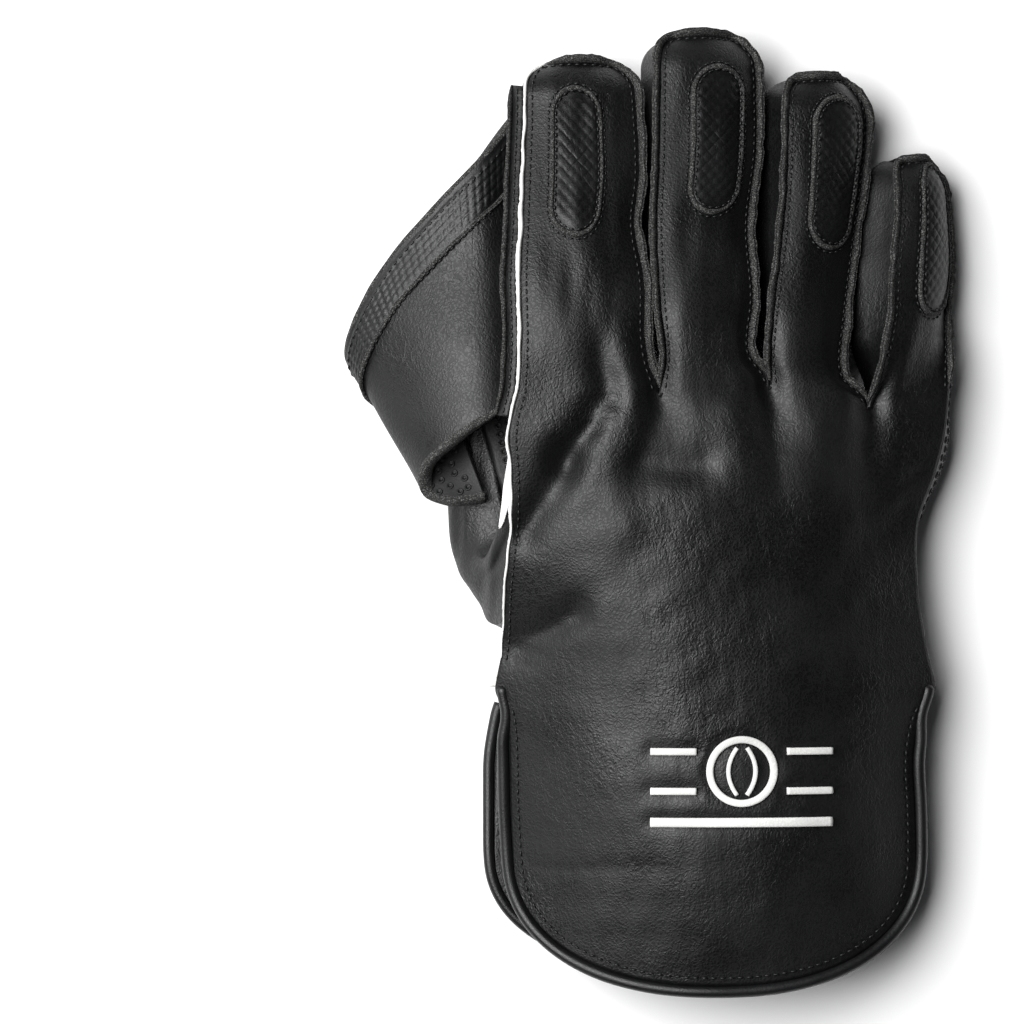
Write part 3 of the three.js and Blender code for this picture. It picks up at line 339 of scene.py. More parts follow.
# %% Fold depths
FOLD_SWAY = 2.2
FOLD_SWAY_SIZE = 46
FOLD_FADE = 0.85
CREASE_SWAY = 1.5
CREASE_SWAY_SIZE = 24
CREASE_FADE = 0.5
# small creases: from x, y to x, y, then depth and spread, all in millimetres
CREASES = [
    (-41, 60, -52, 42, 1.5, 2.6), (-36, 66, -46, 50, -1.2, 4.0), (-58, 36, -64, 22, 1.4, 3.0),
    (-25, 50, -8, 47, 0.8, 3.5), (-22, 60, -26, 40, 1.0, 3.2), (16, 58, 20, 36, 1.2, 4.0),
    (46, 52, 47, 28, 1.3, 4.5), (30, 60, 32, 44, -0.8, 4.0), (-64, -8, -55, -12, 0.9, 1.5),
    (-65, -12, -56, -15, 0.8, 1.3), (-66, -4, -50, -3, 0.8, 2.2), (-58, -77, -18, -77.5, 0.22, 1.6),
    (58, 34, 44, 22, 0.9, 3.2), (60, 12, 48, 4, 0.8, 3.0), (62, 46, 52, 40, 0.9, 2.6),
    (-46, 2, -64, -9, 1.3, 3.4), (-30, 30, -48, 20, -0.8, 6.0), (2, 66, 4, 50, -0.9, 4.5),
]


def groove(x, y, x0, y0, x1, y1, depth, spread, fade=0.0):
    """A groove of bell-shaped section along the line between two places. Towards the second
    place it fades and widens by the share given."""
    run_x, run_y = x1 - x0, y1 - y0
    share = np.clip(((x - x0) * run_x + (y - y0) * run_y) / (run_x**2 + run_y**2), 0, 1)
    away = np.hypot(x - x0 - run_x * share, y - y0 - run_y * share)
    return depth * (1 - fade * share) * np.exp(-((away / (spread * (1 + fade * share))) ** 2))


def fold_depth(x, y):
    """The large folds of the solid, each with a little sway."""
    total = 0.0
    sway_x = FOLD_SWAY * ripple(x, y, 8, FOLD_SWAY_SIZE)
    sway_y = FOLD_SWAY * ripple(x, y, 9, FOLD_SWAY_SIZE)
    x, y = x + sway_x, y + sway_y
    for table, fade in ((FOLDS, 0.0), (CROTCH_FOLDS, FOLD_FADE)):
        for x0, y0, x1, y1, depth, spread in table:
            total = total + groove(
                x, y, x0 * BODY_WIDTH, y0 * BODY_LENGTH, x1 * BODY_WIDTH, y1 * BODY_LENGTH,
                depth * BACK_HEIGHT, spread * BACK_HEIGHT, fade,
            )
    return total


print("creases:", len(CREASES), "large folds:", len(FOLDS) + len(CROTCH_FOLDS))

# %% [markdown]
# ## Small creases and the motif's bed
# On the large folds lie slack patches, fine creases and the hollow that a moulded motif presses
# into the leather round it. They could be bump in the material, but then the outline and the
# mesh would miss them. As depths they simply add up.

# %% Fine depths
MOTIF = (0.045 * BODY_WIDTH, -0.245 * BODY_LENGTH)
MOTIF_WIDTH = 56.0
MOTIF_HEIGHT = 22.0
STROKE = 2.2
BED_DEPTH = 0.75
BED_SPREAD = 3.0
BAR_GAP = 3.0
BAR_SHARE = 0.28
BASE_SHARE = 0.72
# slack of the leather: depth, seed and size; the wrinkle is drawn out along the glove
SLACK = [(0.35, 3, 34), (0.2, 5, 15)]
WRINKLE = (0.08, 6, 7)
WRINKLE_STRETCH = (1.6, 0.6)


def motif_bed(x, y):
    """The leather is pressed down round the motif's ball and bars."""
    across, up = np.abs(x - MOTIF[0]), y - MOTIF[1]
    ball = np.abs(np.hypot(across, up) - MOTIF_HEIGHT / 2 + STROKE / 2)
    before = np.maximum(0, MOTIF_HEIGHT / 2 + BAR_GAP - across)
    beyond = np.maximum(0, across - MOTIF_WIDTH / 2)
    bar = np.hypot(before + beyond, np.abs(up) - BAR_SHARE * MOTIF_HEIGHT)
    base = np.hypot(beyond, up + BASE_SHARE * MOTIF_HEIGHT)
    nearest = np.minimum(np.minimum(ball, bar), base)
    return BED_DEPTH * np.exp(-((nearest / BED_SPREAD) ** 2))


def fine_depth(x, y):
    """Small creases and slack, in millimetres below the large form."""
    total = sum(depth * ripple(x, y, seed, size) for depth, seed, size in SLACK)
    depth, seed, size = WRINKLE
    total = total + depth * ripple(WRINKLE_STRETCH[0] * x, WRINKLE_STRETCH[1] * y, seed, size)
    total = total + motif_bed(x, y)
    sway_x = CREASE_SWAY * ripple(x, y, 13, CREASE_SWAY_SIZE)
    sway_y = CREASE_SWAY * ripple(x, y, 14, CREASE_SWAY_SIZE)
    x, y = x + sway_x, y + sway_y
    for crease in CREASES:
        total = total + groove(x, y, *crease, CREASE_FADE)
    return total


print("bed in the motif's middle:", round(float(motif_bed(*MOTIF)), 3), "mm")

# %% [markdown]
# ## The back as a formula
# The back is one skin over a hand that lies flat: an arch from edge to edge, higher over the
# knuckles than at the hem. A subdivided cage could give that shape too. Here the height is read
# from the table at any place, so that stitches, seams and motif can be laid on it exactly.

# %% Back formula
def along_of(y):
    """Share of the body's length gone from the hem."""
    return (y + HEEL_TO_HEM) / BODY_LENGTH


def back_left(y):
    """The thumb-side edge, smooth through the edge table."""
    return smooth_at(EDGE_ROWS[:, 0], EDGE_ROWS[:, 1], along_of(y)) * BODY_WIDTH


def back_right(y):
    """The little-finger edge, smooth through the edge table."""
    return smooth_at(EDGE_ROWS[:, 0], EDGE_ROWS[:, 2], along_of(y)) * BODY_WIDTH


def back_z(x, y, fine=0.0):
    """Height of the back: an arch read from the table, less its folds."""
    across = (x - back_left(y)) / (back_right(y) - back_left(y))
    arch = across_stations(BACK_ROWS, along_of(y), across) * BACK_HEIGHT
    edge = np.clip(4 * across * (1 - across), 0, 1) ** 0.5
    return arch - fold_depth(x, y) - fine * fine_depth(x, y) * edge


def column_share(column, along):
    """Where a column, 0 at the thumb side and 4 at the little finger, crosses the body."""
    blend = eased(0.45, 1, along)
    at_hem = np.interp(column, range(5), COLUMNS_AT_HEM)
    at_crotch = np.interp(column, range(5), COLUMNS_AT_CROTCH)
    return mix(at_hem, at_crotch, blend)


def body_y(column, share):
    """From wrist to crotch; near the crotches the line dips and rises from column to column."""
    lift = np.interp(column, range(5), CROTCH_OFFSETS) * CROTCH_DIP
    return mix(-HEEL_TO_WRIST, HEEL_TO_CROTCH, share) + lift * eased(0.6, 1, share)


def back_point(column, share, fine=1.0):
    """A place on the back between wrist and crotch, at its height."""
    y = body_y(column, share)
    x = mix(back_left(y), back_right(y), column_share(column, along_of(y)))
    return np.stack([x, y, back_z(x, y, fine)], -1)


print("back at the knuckles:", round(float(back_z(np.array(0.0), np.array(60.0))), 1), "mm")

# %% [markdown]
# ## The cuff and the palm as formulas
# The cuff ends in a wide, round hem. A superellipse gives that in one exponent, and its rows
# close up to the hem. The palm follows the same columns as the back, so both can be sewn along
# one seam, and it is pressed flat where the glove rests.

# %% Cuff and palm formulas
HEM_POWER = 2.3


def cuff_point(column, share, fine=1.0):
    """The cuff from hem to wrist: rows close up to a superellipse hem."""
    even = column_share(column, 0.0 * share)
    rounded = (1 - np.cos(np.pi * even)) / 2
    across = mix(mix(even, rounded, 0.6), even, eased(0, 0.7, share))
    drop = (1 - np.abs(2 * across - 1) ** HEM_POWER) ** (1 / HEM_POWER)
    inset = PIPING * (1 - eased(0.8, 1, share))
    hem_y = -HEEL_TO_HEM + PIPING + HEM_CORNER * (1 - drop)
    y = mix(hem_y, -HEEL_TO_WRIST, share)
    x = mix(back_left(y) + inset, back_right(y) - inset, across)
    return np.stack([x, y, back_z(x, y, fine)], -1)


def palm_point(column, share):
    """The palm's body, pressed flat where it rests."""
    y = body_y(column, share)
    along = along_of(y)
    left = smooth_at(PALM_ROWS[:, 0], PALM_ROWS[:, 1], along) * BODY_WIDTH
    right = back_right(y) - 2 + 4 * eased(0.78, 0.88, along) * (1 - eased(0.9, 1, along))
    across = column_share(column, along)
    lift = across_stations(np.delete(PALM_ROWS, 1, axis=1), along, across) * PALM_RISE
    return np.stack([mix(left, right, across), y, np.maximum(RING_ROOM, lift)], -1)


print("palm's first corner:", palm_point(np.array(0.0), np.array(0.0)).round(1))

# %% [markdown]
# ## The fingers as a formula
# A finger stall is a box with soft corners that leans to one side and closes over the tip.
# It could be a bevelled cube bent by hand. As a formula of two shares, across and along, its
# root is exactly the body's last row, so no gap can open at the knuckles.

# %% Finger formula
CAP_POWER = 2.6
CAP_CLOSE = 0.9
BULGE_POWER = 2.2
LEAST_HEIGHT = 0.4
SLACK_WIDE = 0.65
SLACK_NARROW = 0.32


def finger_point(finger, across, along, on_palm=False, fine=1.0):
    """A rolled box with crowned back and belly that closes in a round cap at the tip."""
    name = NAMES[finger]
    size, table = FINGERS[name], FINGER_ROWS[name]
    column = finger + across
    whole = np.ones_like(along)
    root = palm_point(column, whole) if on_palm else back_point(column, whole, fine)
    tip_y = HEEL_TO_CROTCH + size["length"]
    rounding = TIP_ROUND / size["length"]
    cap = np.maximum(0, (along - (1 - rounding)) / rounding)
    cap_row = cap * (CAP_CLOSE + 0.1 * (1 - (2 * across - 1) ** 2))
    y_cap = mix(root[..., 1], tip_y, 1 - rounding + rounding * cap_row)
    y = np.where(cap > 0, y_cap, mix(root[..., 1], tip_y, along))
    narrowing = (1 - np.minimum(CAP_CLOSE, cap * CAP_CLOSE) ** CAP_POWER) ** (1 / CAP_POWER)
    shares = [smooth_at(table[:, 0], column, along) for column in table.T[1:]]
    width = shares[1] * size["width"] * narrowing
    centre = shares[0] * BODY_WIDTH
    chord = shares[2] * BACK_HEIGHT
    offset = (across - 0.5) * width
    roll = np.radians(size["roll"])
    bulge = 1 - np.abs(2 * across - 1) ** BULGE_POWER
    taken = eased(0, 0.3, along)
    depth = mix(size["root_depth"], size["depth"], eased(0, 0.6, along))
    tip_sink = cap**2 * size["depth"] * 0.26
    out = FINGER_CROWN * bulge - tip_sink
    if on_palm:
        out = -depth - FINGER_BELLY * bulge + tip_sink
    else:
        x_near = centre + offset
        slack = SLACK_WIDE * ripple(1.5 * x_near, 0.7 * y, 11 + finger, 30)
        slack = slack + SLACK_NARROW * ripple(1.8 * x_near, 0.45 * y, 21 + finger, 13)
        out = out - fine * bulge**0.5 * slack
    tuck = -(across * 2 - 1) * size["tuck"] if on_palm else 0.0
    sideways = out + depth - size["depth"] if on_palm else out
    shift = (sideways * np.sin(roll) + tuck) * taken
    z = chord - offset * np.tan(roll) + out * np.cos(roll)
    root_x = mix(back_left(root[..., 1]), back_right(root[..., 1]), column_share(column, whole))
    x = mix(root_x, centre + offset, eased(0, 0.08, along)) + shift
    return np.stack([x, y, np.maximum(LEAST_HEIGHT, mix(root[..., 2], z, taken))], -1)


tip = finger_point(1, np.array(0.5), np.array(1.0))
print("middle fingertip:", tip.round(1))


# %% [markdown]
# ## From grids to sewn sheets
# A grid of points becomes faces; several grids that share an edge are welded into one sheet;
# a sheet gets a wall by offsetting it along its own normals and closing its rim.

# %% Mesh helpers
def grid_faces(rows, columns, flipped=False):
    """Quads of a grid whose points are counted along its rows."""
    first = (np.arange(rows - 1)[:, None] * columns + np.arange(columns - 1)).ravel()
    quads = np.stack([first, first + 1, first + columns + 1, first + columns], 1)
    return quads[:, ::-1] if flipped else quads


def weld(grids, flipped=False):
    """One list of points and quads from several grids; points at the same place are joined."""
    points, quads, count = [], [], 0
    for grid in grids:
        points.append(grid.reshape(-1, 3))
        quads.append(grid_faces(grid.shape[0], grid.shape[1], flipped) + count)
        count += grid.shape[0] * grid.shape[1]
    points = np.concatenate(points)
    _, keep, inverse = np.unique(np.round(points, 4), axis=0, return_index=True, return_inverse=True)
    return points[keep], inverse.reshape(-1)[np.concatenate(quads)]


print("quads of a grid of 3 by 3 points:", len(grid_faces(3, 3)))

# %% [markdown]
# ## Walls
# Leather has a thickness. The Solidify modifier could give it; worked out here, each wall is as
# thick as the part's own solid, and the corners where grids meet share one normal.

# %% Walls
def point_normals(points, quads):
    """At each point, the mean of the normals of the faces round it."""
    a, b, c, d = (points[quads[:, k]] for k in range(4))
    normal = np.cross(c - a, d - b)
    total = np.zeros_like(points)
    for k in range(4):
        np.add.at(total, quads[:, k], normal)
    return total / np.maximum(np.linalg.norm(total, axis=1, keepdims=True), 1e-12)


def walled(points, quads, wall):
    """The sheet, its offset copy turned round, and a strip of quads along each open edge."""
    normals = point_normals(points, quads)
    count = len(points)
    edges = np.concatenate([quads[:, [k, (k + 1) % 4]] for k in range(4)])
    edges = edges[edges[:, 0] != edges[:, 1]]
    forward = edges[:, 0].astype(np.int64) * count + edges[:, 1]
    backward = edges[:, 1].astype(np.int64) * count + edges[:, 0]
    rim = edges[~np.isin(forward, backward)]
    sides = np.stack([rim[:, 0], rim[:, 0] + count, rim[:, 1] + count, rim[:, 1]], 1)
    inner = quads[:, ::-1] + count
    return np.concatenate([points, points - normals * wall]), np.concatenate([quads, inner, sides])


def grid_normals(grid):
    """Across-direction crossed with along-direction: the side from which faces run round
    counterclockwise."""
    along, across = np.gradient(grid, axis=0), np.gradient(grid, axis=1)
    normal = np.cross(across, along)
    return normal / np.maximum(np.linalg.norm(normal, axis=-1, keepdims=True), 1e-12)


print("leather wall:", LEATHER_WALL, "mm, rubber wall:", RUBBER_WALL, "mm")

# %% [markdown]
# ## Lines
# Seams, piping and stitches follow lines that are picked out of the grids. They need equal
# steps, so that stitches keep one size, and a little smoothing where two grids meet.

# %% Lines
def unit(vectors):
    """The same directions, each with length 1."""
    return vectors / np.maximum(np.linalg.norm(vectors, axis=-1, keepdims=True), 1e-12)


def length_along(line):
    """The length gone at each point of a line."""
    return np.concatenate([[0], np.cumsum(np.linalg.norm(np.diff(line, axis=0), axis=1))])


def resample(line, step):
    """The same line with points at equal steps of its length."""
    length = length_along(line)
    count = max(3, int(round(length[-1] / step)) + 1)
    at = np.linspace(0, length[-1], count)
    return np.stack([np.interp(at, length, column) for column in line.T], 1)


def smoothed(line, times):
    """Each inner point moves towards the mean of its neighbours."""
    for _ in range(times):
        line = np.concatenate([line[:1], (line[:-2] + 2 * line[1:-1] + line[2:]) / 4, line[-1:]])
    return line


def resample_pair(line, values, step):
    """Points at equal steps along a line, with the values that belong to them."""
    length = length_along(line)
    at = np.linspace(0, length[-1], max(3, int(round(length[-1] / step)) + 1))
    return tuple(
        np.stack([np.interp(at, length, column) for column in array.T], 1)
        for array in (line, values)
    )


example = resample(np.array([(0.0, 0.0, 0.0), (10.0, 0.0, 0.0)]), 2.5)
print("a line of 10 mm in steps of 2.5 mm has", len(example), "points")

# %% [markdown]
# ## Bodies along a path
# A bar, a tube or a pillow is one section carried along a line. A curve object with a bevel
# could do it, but then the section couldn't change on its way. Here every ring of points is
# worked out first, and the rings are closed into one body.

# %% Bodies
def swept(sections, closed_path=False):
    """A closed body from rings of points along a path: the rings are wrapped and both ends
    drawn together at their middle."""
    if closed_path:
        grid = np.concatenate([sections, sections[:1]])
    else:
        ends = sections.mean(1, keepdims=True)
        start = np.repeat(ends[:1], sections.shape[1], 1)
        end = np.repeat(ends[-1:], sections.shape[1], 1)
        grid = np.concatenate([start, sections, end])
    grid = np.concatenate([grid, grid[:, :1]], 1)
    return facing_out(*weld([grid]))


def facing_out(points, quads):
    """Turns all faces round when the body's signed volume is negative."""
    a, b, c, d = (points[quads[:, k]] for k in range(4))
    volume = np.einsum("ij,ij->", a, np.cross(b, c)) + np.einsum("ij,ij->", a, np.cross(c, d))
    return points, (quads if volume > 0 else quads[:, ::-1])


def joined(bodies):
    """Several bodies as one list of points and quads."""
    count, points, quads = 0, [], []
    for body_points, body_quads in bodies:
        points.append(body_points)
        quads.append(body_quads + count)
        count += len(body_points)
    return np.concatenate(points), np.concatenate(quads)


def squarish(value, power):
    """A sine or cosine made fuller: its size is raised to the power, its sign is kept."""
    return np.sign(value) * np.abs(value) ** power


print("a cosine of 0.5 made fuller:", round(float(squarish(0.5, 0.5)), 3))

# %% [markdown]
# ## Objects
# Points and faces become a mesh object in one call. The object stays at the origin with its
# place in its mesh, as the frame's own nodes do, and rides on the glove's one body.

# %% Objects
def make_object(name, points, faces, material, smooth=True):
    """A mesh object in metres, from points in millimetres."""
    mesh = bpy.data.meshes.new(name)
    clean = [list(dict.fromkeys(face)) for face in faces.tolist()]
    mesh.from_pydata((points * MM).tolist(), [], [face for face in clean if len(face) > 2])
    mesh.polygons.foreach_set("use_smooth", np.full(len(mesh.polygons), smooth))
    mesh.materials.append(material)
    mesh.update()
    piece = bpy.data.objects.new(name, mesh)
    bpy.context.collection.objects.link(piece)
    return piece


def dress(piece, slot, *nodes):
    """Rides on the glove's one body and stands for the solids it hides. slot is not used."""
    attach(piece, "root")
    if nodes:
        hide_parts(*nodes)
    print(piece.name, len(piece.data.polygons), "faces")
    return piece


# %% [markdown]
# ## Finishes
# Leather, cut edge, rubber and thread differ in relief more than in colour: all are black but
# for the white trim. Each effect is a node group that puts out a height or a mask, and each
# material mixes them with its own amounts and keeps its shader to itself. All patterns read
# Object coordinates in metres, so they stay the same size on every piece.

# %% Node helpers
def new_group(name, inputs, outputs):
    """A shader group with named sockets; gives the tree, its input node and its output node."""
    tree = bpy.data.node_groups.new(name, "ShaderNodeTree")
    for label, kind, value in inputs:
        socket = tree.interface.new_socket(label, in_out="INPUT", socket_type=kind)
        if value is not None:
            socket.default_value = value
    for label, kind in outputs:
        tree.interface.new_socket(label, in_out="OUTPUT", socket_type=kind)
    return tree, tree.nodes.new("NodeGroupInput"), tree.nodes.new("NodeGroupOutput")


def math(tree, operation, *values):
    """One arithmetic node; each value is a number or a socket."""
    node = tree.nodes.new("ShaderNodeMath")
    node.operation = operation
    for socket, value in zip(node.inputs, values):
        if isinstance(value, (int, float)):
            socket.default_value = value
        else:
            tree.links.new(value, socket)
    return node.outputs[0]


def noise(tree, vector, scale, detail=2.0, roughness=0.5):
    """A noise texture at a vector; its scale is a number or a socket."""
    node = tree.nodes.new("ShaderNodeTexNoise")
    node.inputs["Detail"].default_value = detail
    node.inputs["Roughness"].default_value = roughness
    tree.links.new(vector, node.inputs["Vector"])
    if isinstance(scale, (int, float)):
        node.inputs["Scale"].default_value = scale
    else:
        tree.links.new(scale, node.inputs["Scale"])
    return node


def ramp(tree, value, start, end, low=0.0, high=1.0):
    """A smooth step from low to high while the value goes from start to end."""
    node = tree.nodes.new("ShaderNodeMapRange")
    node.interpolation_type = "SMOOTHSTEP"
    tree.links.new(value, node.inputs["Value"])
    for label, number in (("From Min", start), ("From Max", end), ("To Min", low), ("To Max", high)):
        node.inputs[label].default_value = number
    return node.outputs["Result"]


def scaled(tree, vector, scale):
    """The vector multiplied, axis by axis."""
    node = tree.nodes.new("ShaderNodeVectorMath")
    node.operation = "MULTIPLY"
    tree.links.new(vector, node.inputs[0])
    node.inputs[1].default_value = scale
    return node.outputs[0]


print("node groups so far:", len(bpy.data.node_groups))

# %% [markdown]
# ## Leather grain
# Close up, leather is a field of tiny pebbles with sunken borders, crossed by slack wrinkles
# where it is loose. A picture of leather could be wrapped round the glove, but cells at a place
# that is bent by a slow noise keep their size on every piece and have no seams.

# %% Grain
GRAIN_BEND = 0.0016
BEND_SCALE = 420.0
PATCH_SCALE = 38.0
PEBBLE_SHARE = 0.55
FINER_SHARE = 0.35


def make_grain():
    """Pebbles: cells whose borders sink, at a place that is first bent by a slow noise; with a
    finer set on top and slack wrinkles that come and go."""
    tree, given, result = new_group(
        "pebble_grain",
        [
            ("Vector", "NodeSocketVector", None), ("Cells", "NodeSocketFloat", 1100.0),
            ("Wrinkle", "NodeSocketFloat", 0.5),
        ],
        [("Height", "NodeSocketFloat"), ("Pits", "NodeSocketFloat")],
    )
    bend = noise(tree, given.outputs["Vector"], BEND_SCALE, 0.0)
    bent = tree.nodes.new("ShaderNodeVectorMath")
    bent.operation = "MULTIPLY_ADD"
    tree.links.new(bend.outputs["Color"], bent.inputs[0])
    bent.inputs[1].default_value = (GRAIN_BEND, GRAIN_BEND, GRAIN_BEND)
    tree.links.new(given.outputs["Vector"], bent.inputs[2])
    cells = tree.nodes.new("ShaderNodeTexVoronoi")
    cells.feature = "F1"
    tree.links.new(bent.outputs[0], cells.inputs["Vector"])
    tree.links.new(given.outputs["Cells"], cells.inputs["Scale"])
    pebble = ramp(tree, cells.outputs["Distance"], 0.2, 0.75, 1.0, 0.0)
    finer_scale = math(tree, "MULTIPLY", given.outputs["Cells"], 2.4)
    finer = noise(tree, bent.outputs[0], finer_scale, 1.0, 0.6)
    drawn_out = scaled(tree, bent.outputs[0], (1.0, 0.55, 1.0))
    slack = noise(tree, drawn_out, BEND_SCALE, 2.0, 0.62)
    ridge = math(tree, "ABSOLUTE", math(tree, "SUBTRACT", slack.outputs["Fac"], 0.5))
    ridge = ramp(tree, ridge, 0.0, 0.09)
    patch = noise(tree, given.outputs["Vector"], PATCH_SCALE, 1.0)
    loose = ramp(tree, patch.outputs["Fac"], 0.42, 0.62)
    where = math(tree, "MULTIPLY", loose, given.outputs["Wrinkle"])
    fold = math(tree, "MULTIPLY", ridge, where)
    height = math(tree, "MULTIPLY", pebble, PEBBLE_SHARE)
    height = math(tree, "MULTIPLY_ADD", finer.outputs["Fac"], FINER_SHARE, height)
    height = math(tree, "ADD", height, fold)
    tree.links.new(height, result.inputs["Height"])
    tree.links.new(math(tree, "SUBTRACT", 1.0, pebble), result.inputs["Pits"])
    return tree


grain = make_grain()
print("group:", grain.name, "with", len(grain.nodes), "nodes")

# %% [markdown]
# ## Handling and cut edges
# Hands polish leather in patches, and a cut edge shows pale fibres. Both are used by several
# finishes, so each is a group of its own: one puts out a slow mask, the other a nap.

# %% Handling and fibre
def make_clouds():
    """Slow patches from 0 to 1, for uneven dye and handling."""
    tree, given, result = new_group(
        "handling", [("Vector", "NodeSocketVector", None), ("Scale", "NodeSocketFloat", 30.0)],
        [("Mask", "NodeSocketFloat")],
    )
    patch = noise(tree, given.outputs["Vector"], given.outputs["Scale"], 2.0, 0.55)
    tree.links.new(ramp(tree, patch.outputs["Fac"], 0.35, 0.68), result.inputs["Mask"])
    return tree


def make_fibre():
    """The nap of a cut edge: short fibres in two scales, with pale tips."""
    tree, given, result = new_group(
        "cut_fibre", [("Vector", "NodeSocketVector", None), ("Scale", "NodeSocketFloat", 2600.0)],
        [("Height", "NodeSocketFloat"), ("Tips", "NodeSocketFloat")],
    )
    coarse = noise(tree, given.outputs["Vector"], given.outputs["Scale"], 2.0, 0.7)
    drawn_out = scaled(tree, given.outputs["Vector"], (1.0, 1.0, 0.3))
    long_scale = math(tree, "MULTIPLY", given.outputs["Scale"], 0.4)
    long = noise(tree, drawn_out, long_scale, 3.0, 0.6)
    short_height = math(tree, "MULTIPLY", coarse.outputs["Fac"], 0.6)
    height = math(tree, "MULTIPLY_ADD", long.outputs["Fac"], 0.6, short_height)
    tree.links.new(height, result.inputs["Height"])
    tree.links.new(ramp(tree, coarse.outputs["Fac"], 0.48, 0.72), result.inputs["Tips"])
    return tree


clouds = make_clouds()
fibre = make_fibre()
print("groups:", clouds.name, fibre.name)

# %% [markdown]
# ## One recipe for every finish
# The leathers, the rubber, the thread and the cut edge differ only in their numbers. One
# function mixes the groups into a Principled shader: colour and roughness change over the
# surface and come from the groups, and what is the same all over is set on the shader itself.

# %% Recipe
HANDLING_SCALE = 26.0
# painted shade: how far the colour in the grain's pits falls towards the dark end
PIT_PAINTED_SHADE = 0.5
PIT_ROUGH = 0.14


def placed(tree, group, vector, **values):
    """A group node with its own values, fed with the vector."""
    node = tree.nodes.new("ShaderNodeGroup")
    node.node_tree = group
    tree.links.new(vector, node.inputs["Vector"])
    for label, value in values.items():
        node.inputs[label].default_value = value
    return node


def blended(tree, mask, first, second):
    """A colour between two by the mask."""
    node = tree.nodes.new("ShaderNodeMix")
    node.data_type = "RGBA"
    tree.links.new(mask, node.inputs["Factor"])
    node.inputs["A"].default_value = (*first, 1)
    node.inputs["B"].default_value = (*second, 1)
    return node.outputs["Result"]


def finish(name, low, high, shine, rough, relief, group, specular=0.5, **values):
    """A material whose colour runs from low to high by a mask, with roughness from one value to
    another and a bump of so many millimetres. group gives the relief: grain or fibre."""
    material = bpy.data.materials.new(name)
    material.use_nodes = True
    tree = material.node_tree
    shader = tree.nodes["Principled BSDF"]
    vector = tree.nodes.new("ShaderNodeTexCoord").outputs["Object"]
    relief_node = placed(tree, group, vector, **values)
    handling = placed(tree, clouds, vector, Scale=HANDLING_SCALE)
    mark = relief_node.outputs["Tips" if group is fibre else "Pits"]
    if group is fibre:
        mask = mark
    else:
        # the grain's pits get painted shade: their colour is darkened as if shadowed, on top of the bump
        pit_shade_factor = math(tree, "SUBTRACT", 1.0, math(tree, "MULTIPLY", mark, PIT_PAINTED_SHADE))
        mask = math(tree, "MULTIPLY", handling.outputs["Mask"], pit_shade_factor)
    tree.links.new(blended(tree, mask, low, high), shader.inputs["Base Color"])
    gloss = math(tree, "MULTIPLY_ADD", handling.outputs["Mask"], rough - shine, shine)
    if group is grain:
        gloss = math(tree, "MULTIPLY_ADD", mark, PIT_ROUGH, gloss)
    tree.links.new(gloss, shader.inputs["Roughness"])
    shader.inputs["Specular IOR Level"].default_value = specular
    bump = tree.nodes.new("ShaderNodeBump")
    bump.inputs["Strength"].default_value = 1.0
    bump.inputs["Distance"].default_value = relief * MM
    tree.links.new(relief_node.outputs["Height"], bump.inputs["Height"])
    tree.links.new(bump.outputs["Normal"], shader.inputs["Normal"])
    return material


print("pits are", PIT_ROUGH, "rougher than the pebbles")

# %% [markdown]
# ## The finishes of the glove
# Back, thumb and cuff are soft black leather. The palm is matt rubber, the rim strip and the
# pads are embossed leather with a finer grain, the piping is smoother, and the trim is white.
# Black that is truly black swallows its own folds, so each colour is a very dark grey.

# %% Materials
COAL = np.array([0.92, 0.96, 1.08])
PAPER = np.array([1.0, 1.0, 0.975])


def shade(value, tint=COAL):
    """A grey of the given brightness, tinted slightly."""
    return tuple(float(part) for part in value * tint)


black_leather = finish(
    "black_leather", shade(0.0016), shade(0.004), 0.34, 0.45, 0.07, grain, specular=0.4,
    Cells=1250.0, Wrinkle=0.8,
)
pimple_rubber = finish(
    "pimple_rubber", shade(0.0018), shade(0.004), 0.46, 0.58, 0.03, grain, specular=0.4,
    Cells=2200.0, Wrinkle=0.0,
)
white_leather = finish(
    "white_leather", shade(0.6, PAPER), shade(0.84, PAPER), 0.45, 0.6, 0.05, grain,
    Cells=1400.0, Wrinkle=0.3,
)
embossed_leather = finish(
    "embossed_leather", shade(0.002), shade(0.0045), 0.32, 0.42, 0.03, grain, specular=0.4,
    Cells=1900.0, Wrinkle=0.1,
)
raw_edge = finish(
    "raw_edge", shade(0.014, PAPER), shade(0.16, PAPER), 0.8, 0.95, 0.16, fibre, specular=0.2,
    Scale=2400.0,
)
piping_leather = finish(
    "piping", shade(0.0022), shade(0.005), 0.3, 0.4, 0.035, grain, specular=0.42,
    Cells=1500.0, Wrinkle=0.25,
)
thread = finish("thread", shade(0.002), shade(0.014), 0.4, 0.5, 0.05, fibre, specular=0.4, Scale=3000.0)


print("finishes:", len(bpy.data.materials))

# %% [markdown]
# ## The floor
# The glove lies on a large sheet of matt white card. It is far wider than the picture, so that
# no edge shows in any view.

# %% Floor
FLOOR_HALF = 3000
FLOOR_GREY = 0.9


def floor_finish():
    """Matt white card with a barely uneven shine."""
    material = bpy.data.materials.new("floor_white")
    material.use_nodes = True
    tree = material.node_tree
    shader = tree.nodes["Principled BSDF"]
    shader.inputs["Base Color"].default_value = (FLOOR_GREY, FLOOR_GREY, FLOOR_GREY, 1)
    shader.inputs["Specular IOR Level"].default_value = 0.1
    vector = tree.nodes.new("ShaderNodeTexCoord").outputs["Object"]
    cloud = noise(tree, vector, 9.0, 1.0)
    tree.links.new(ramp(tree, cloud.outputs["Fac"], 0.3, 0.7, 0.75, 0.85), shader.inputs["Roughness"])
    return material


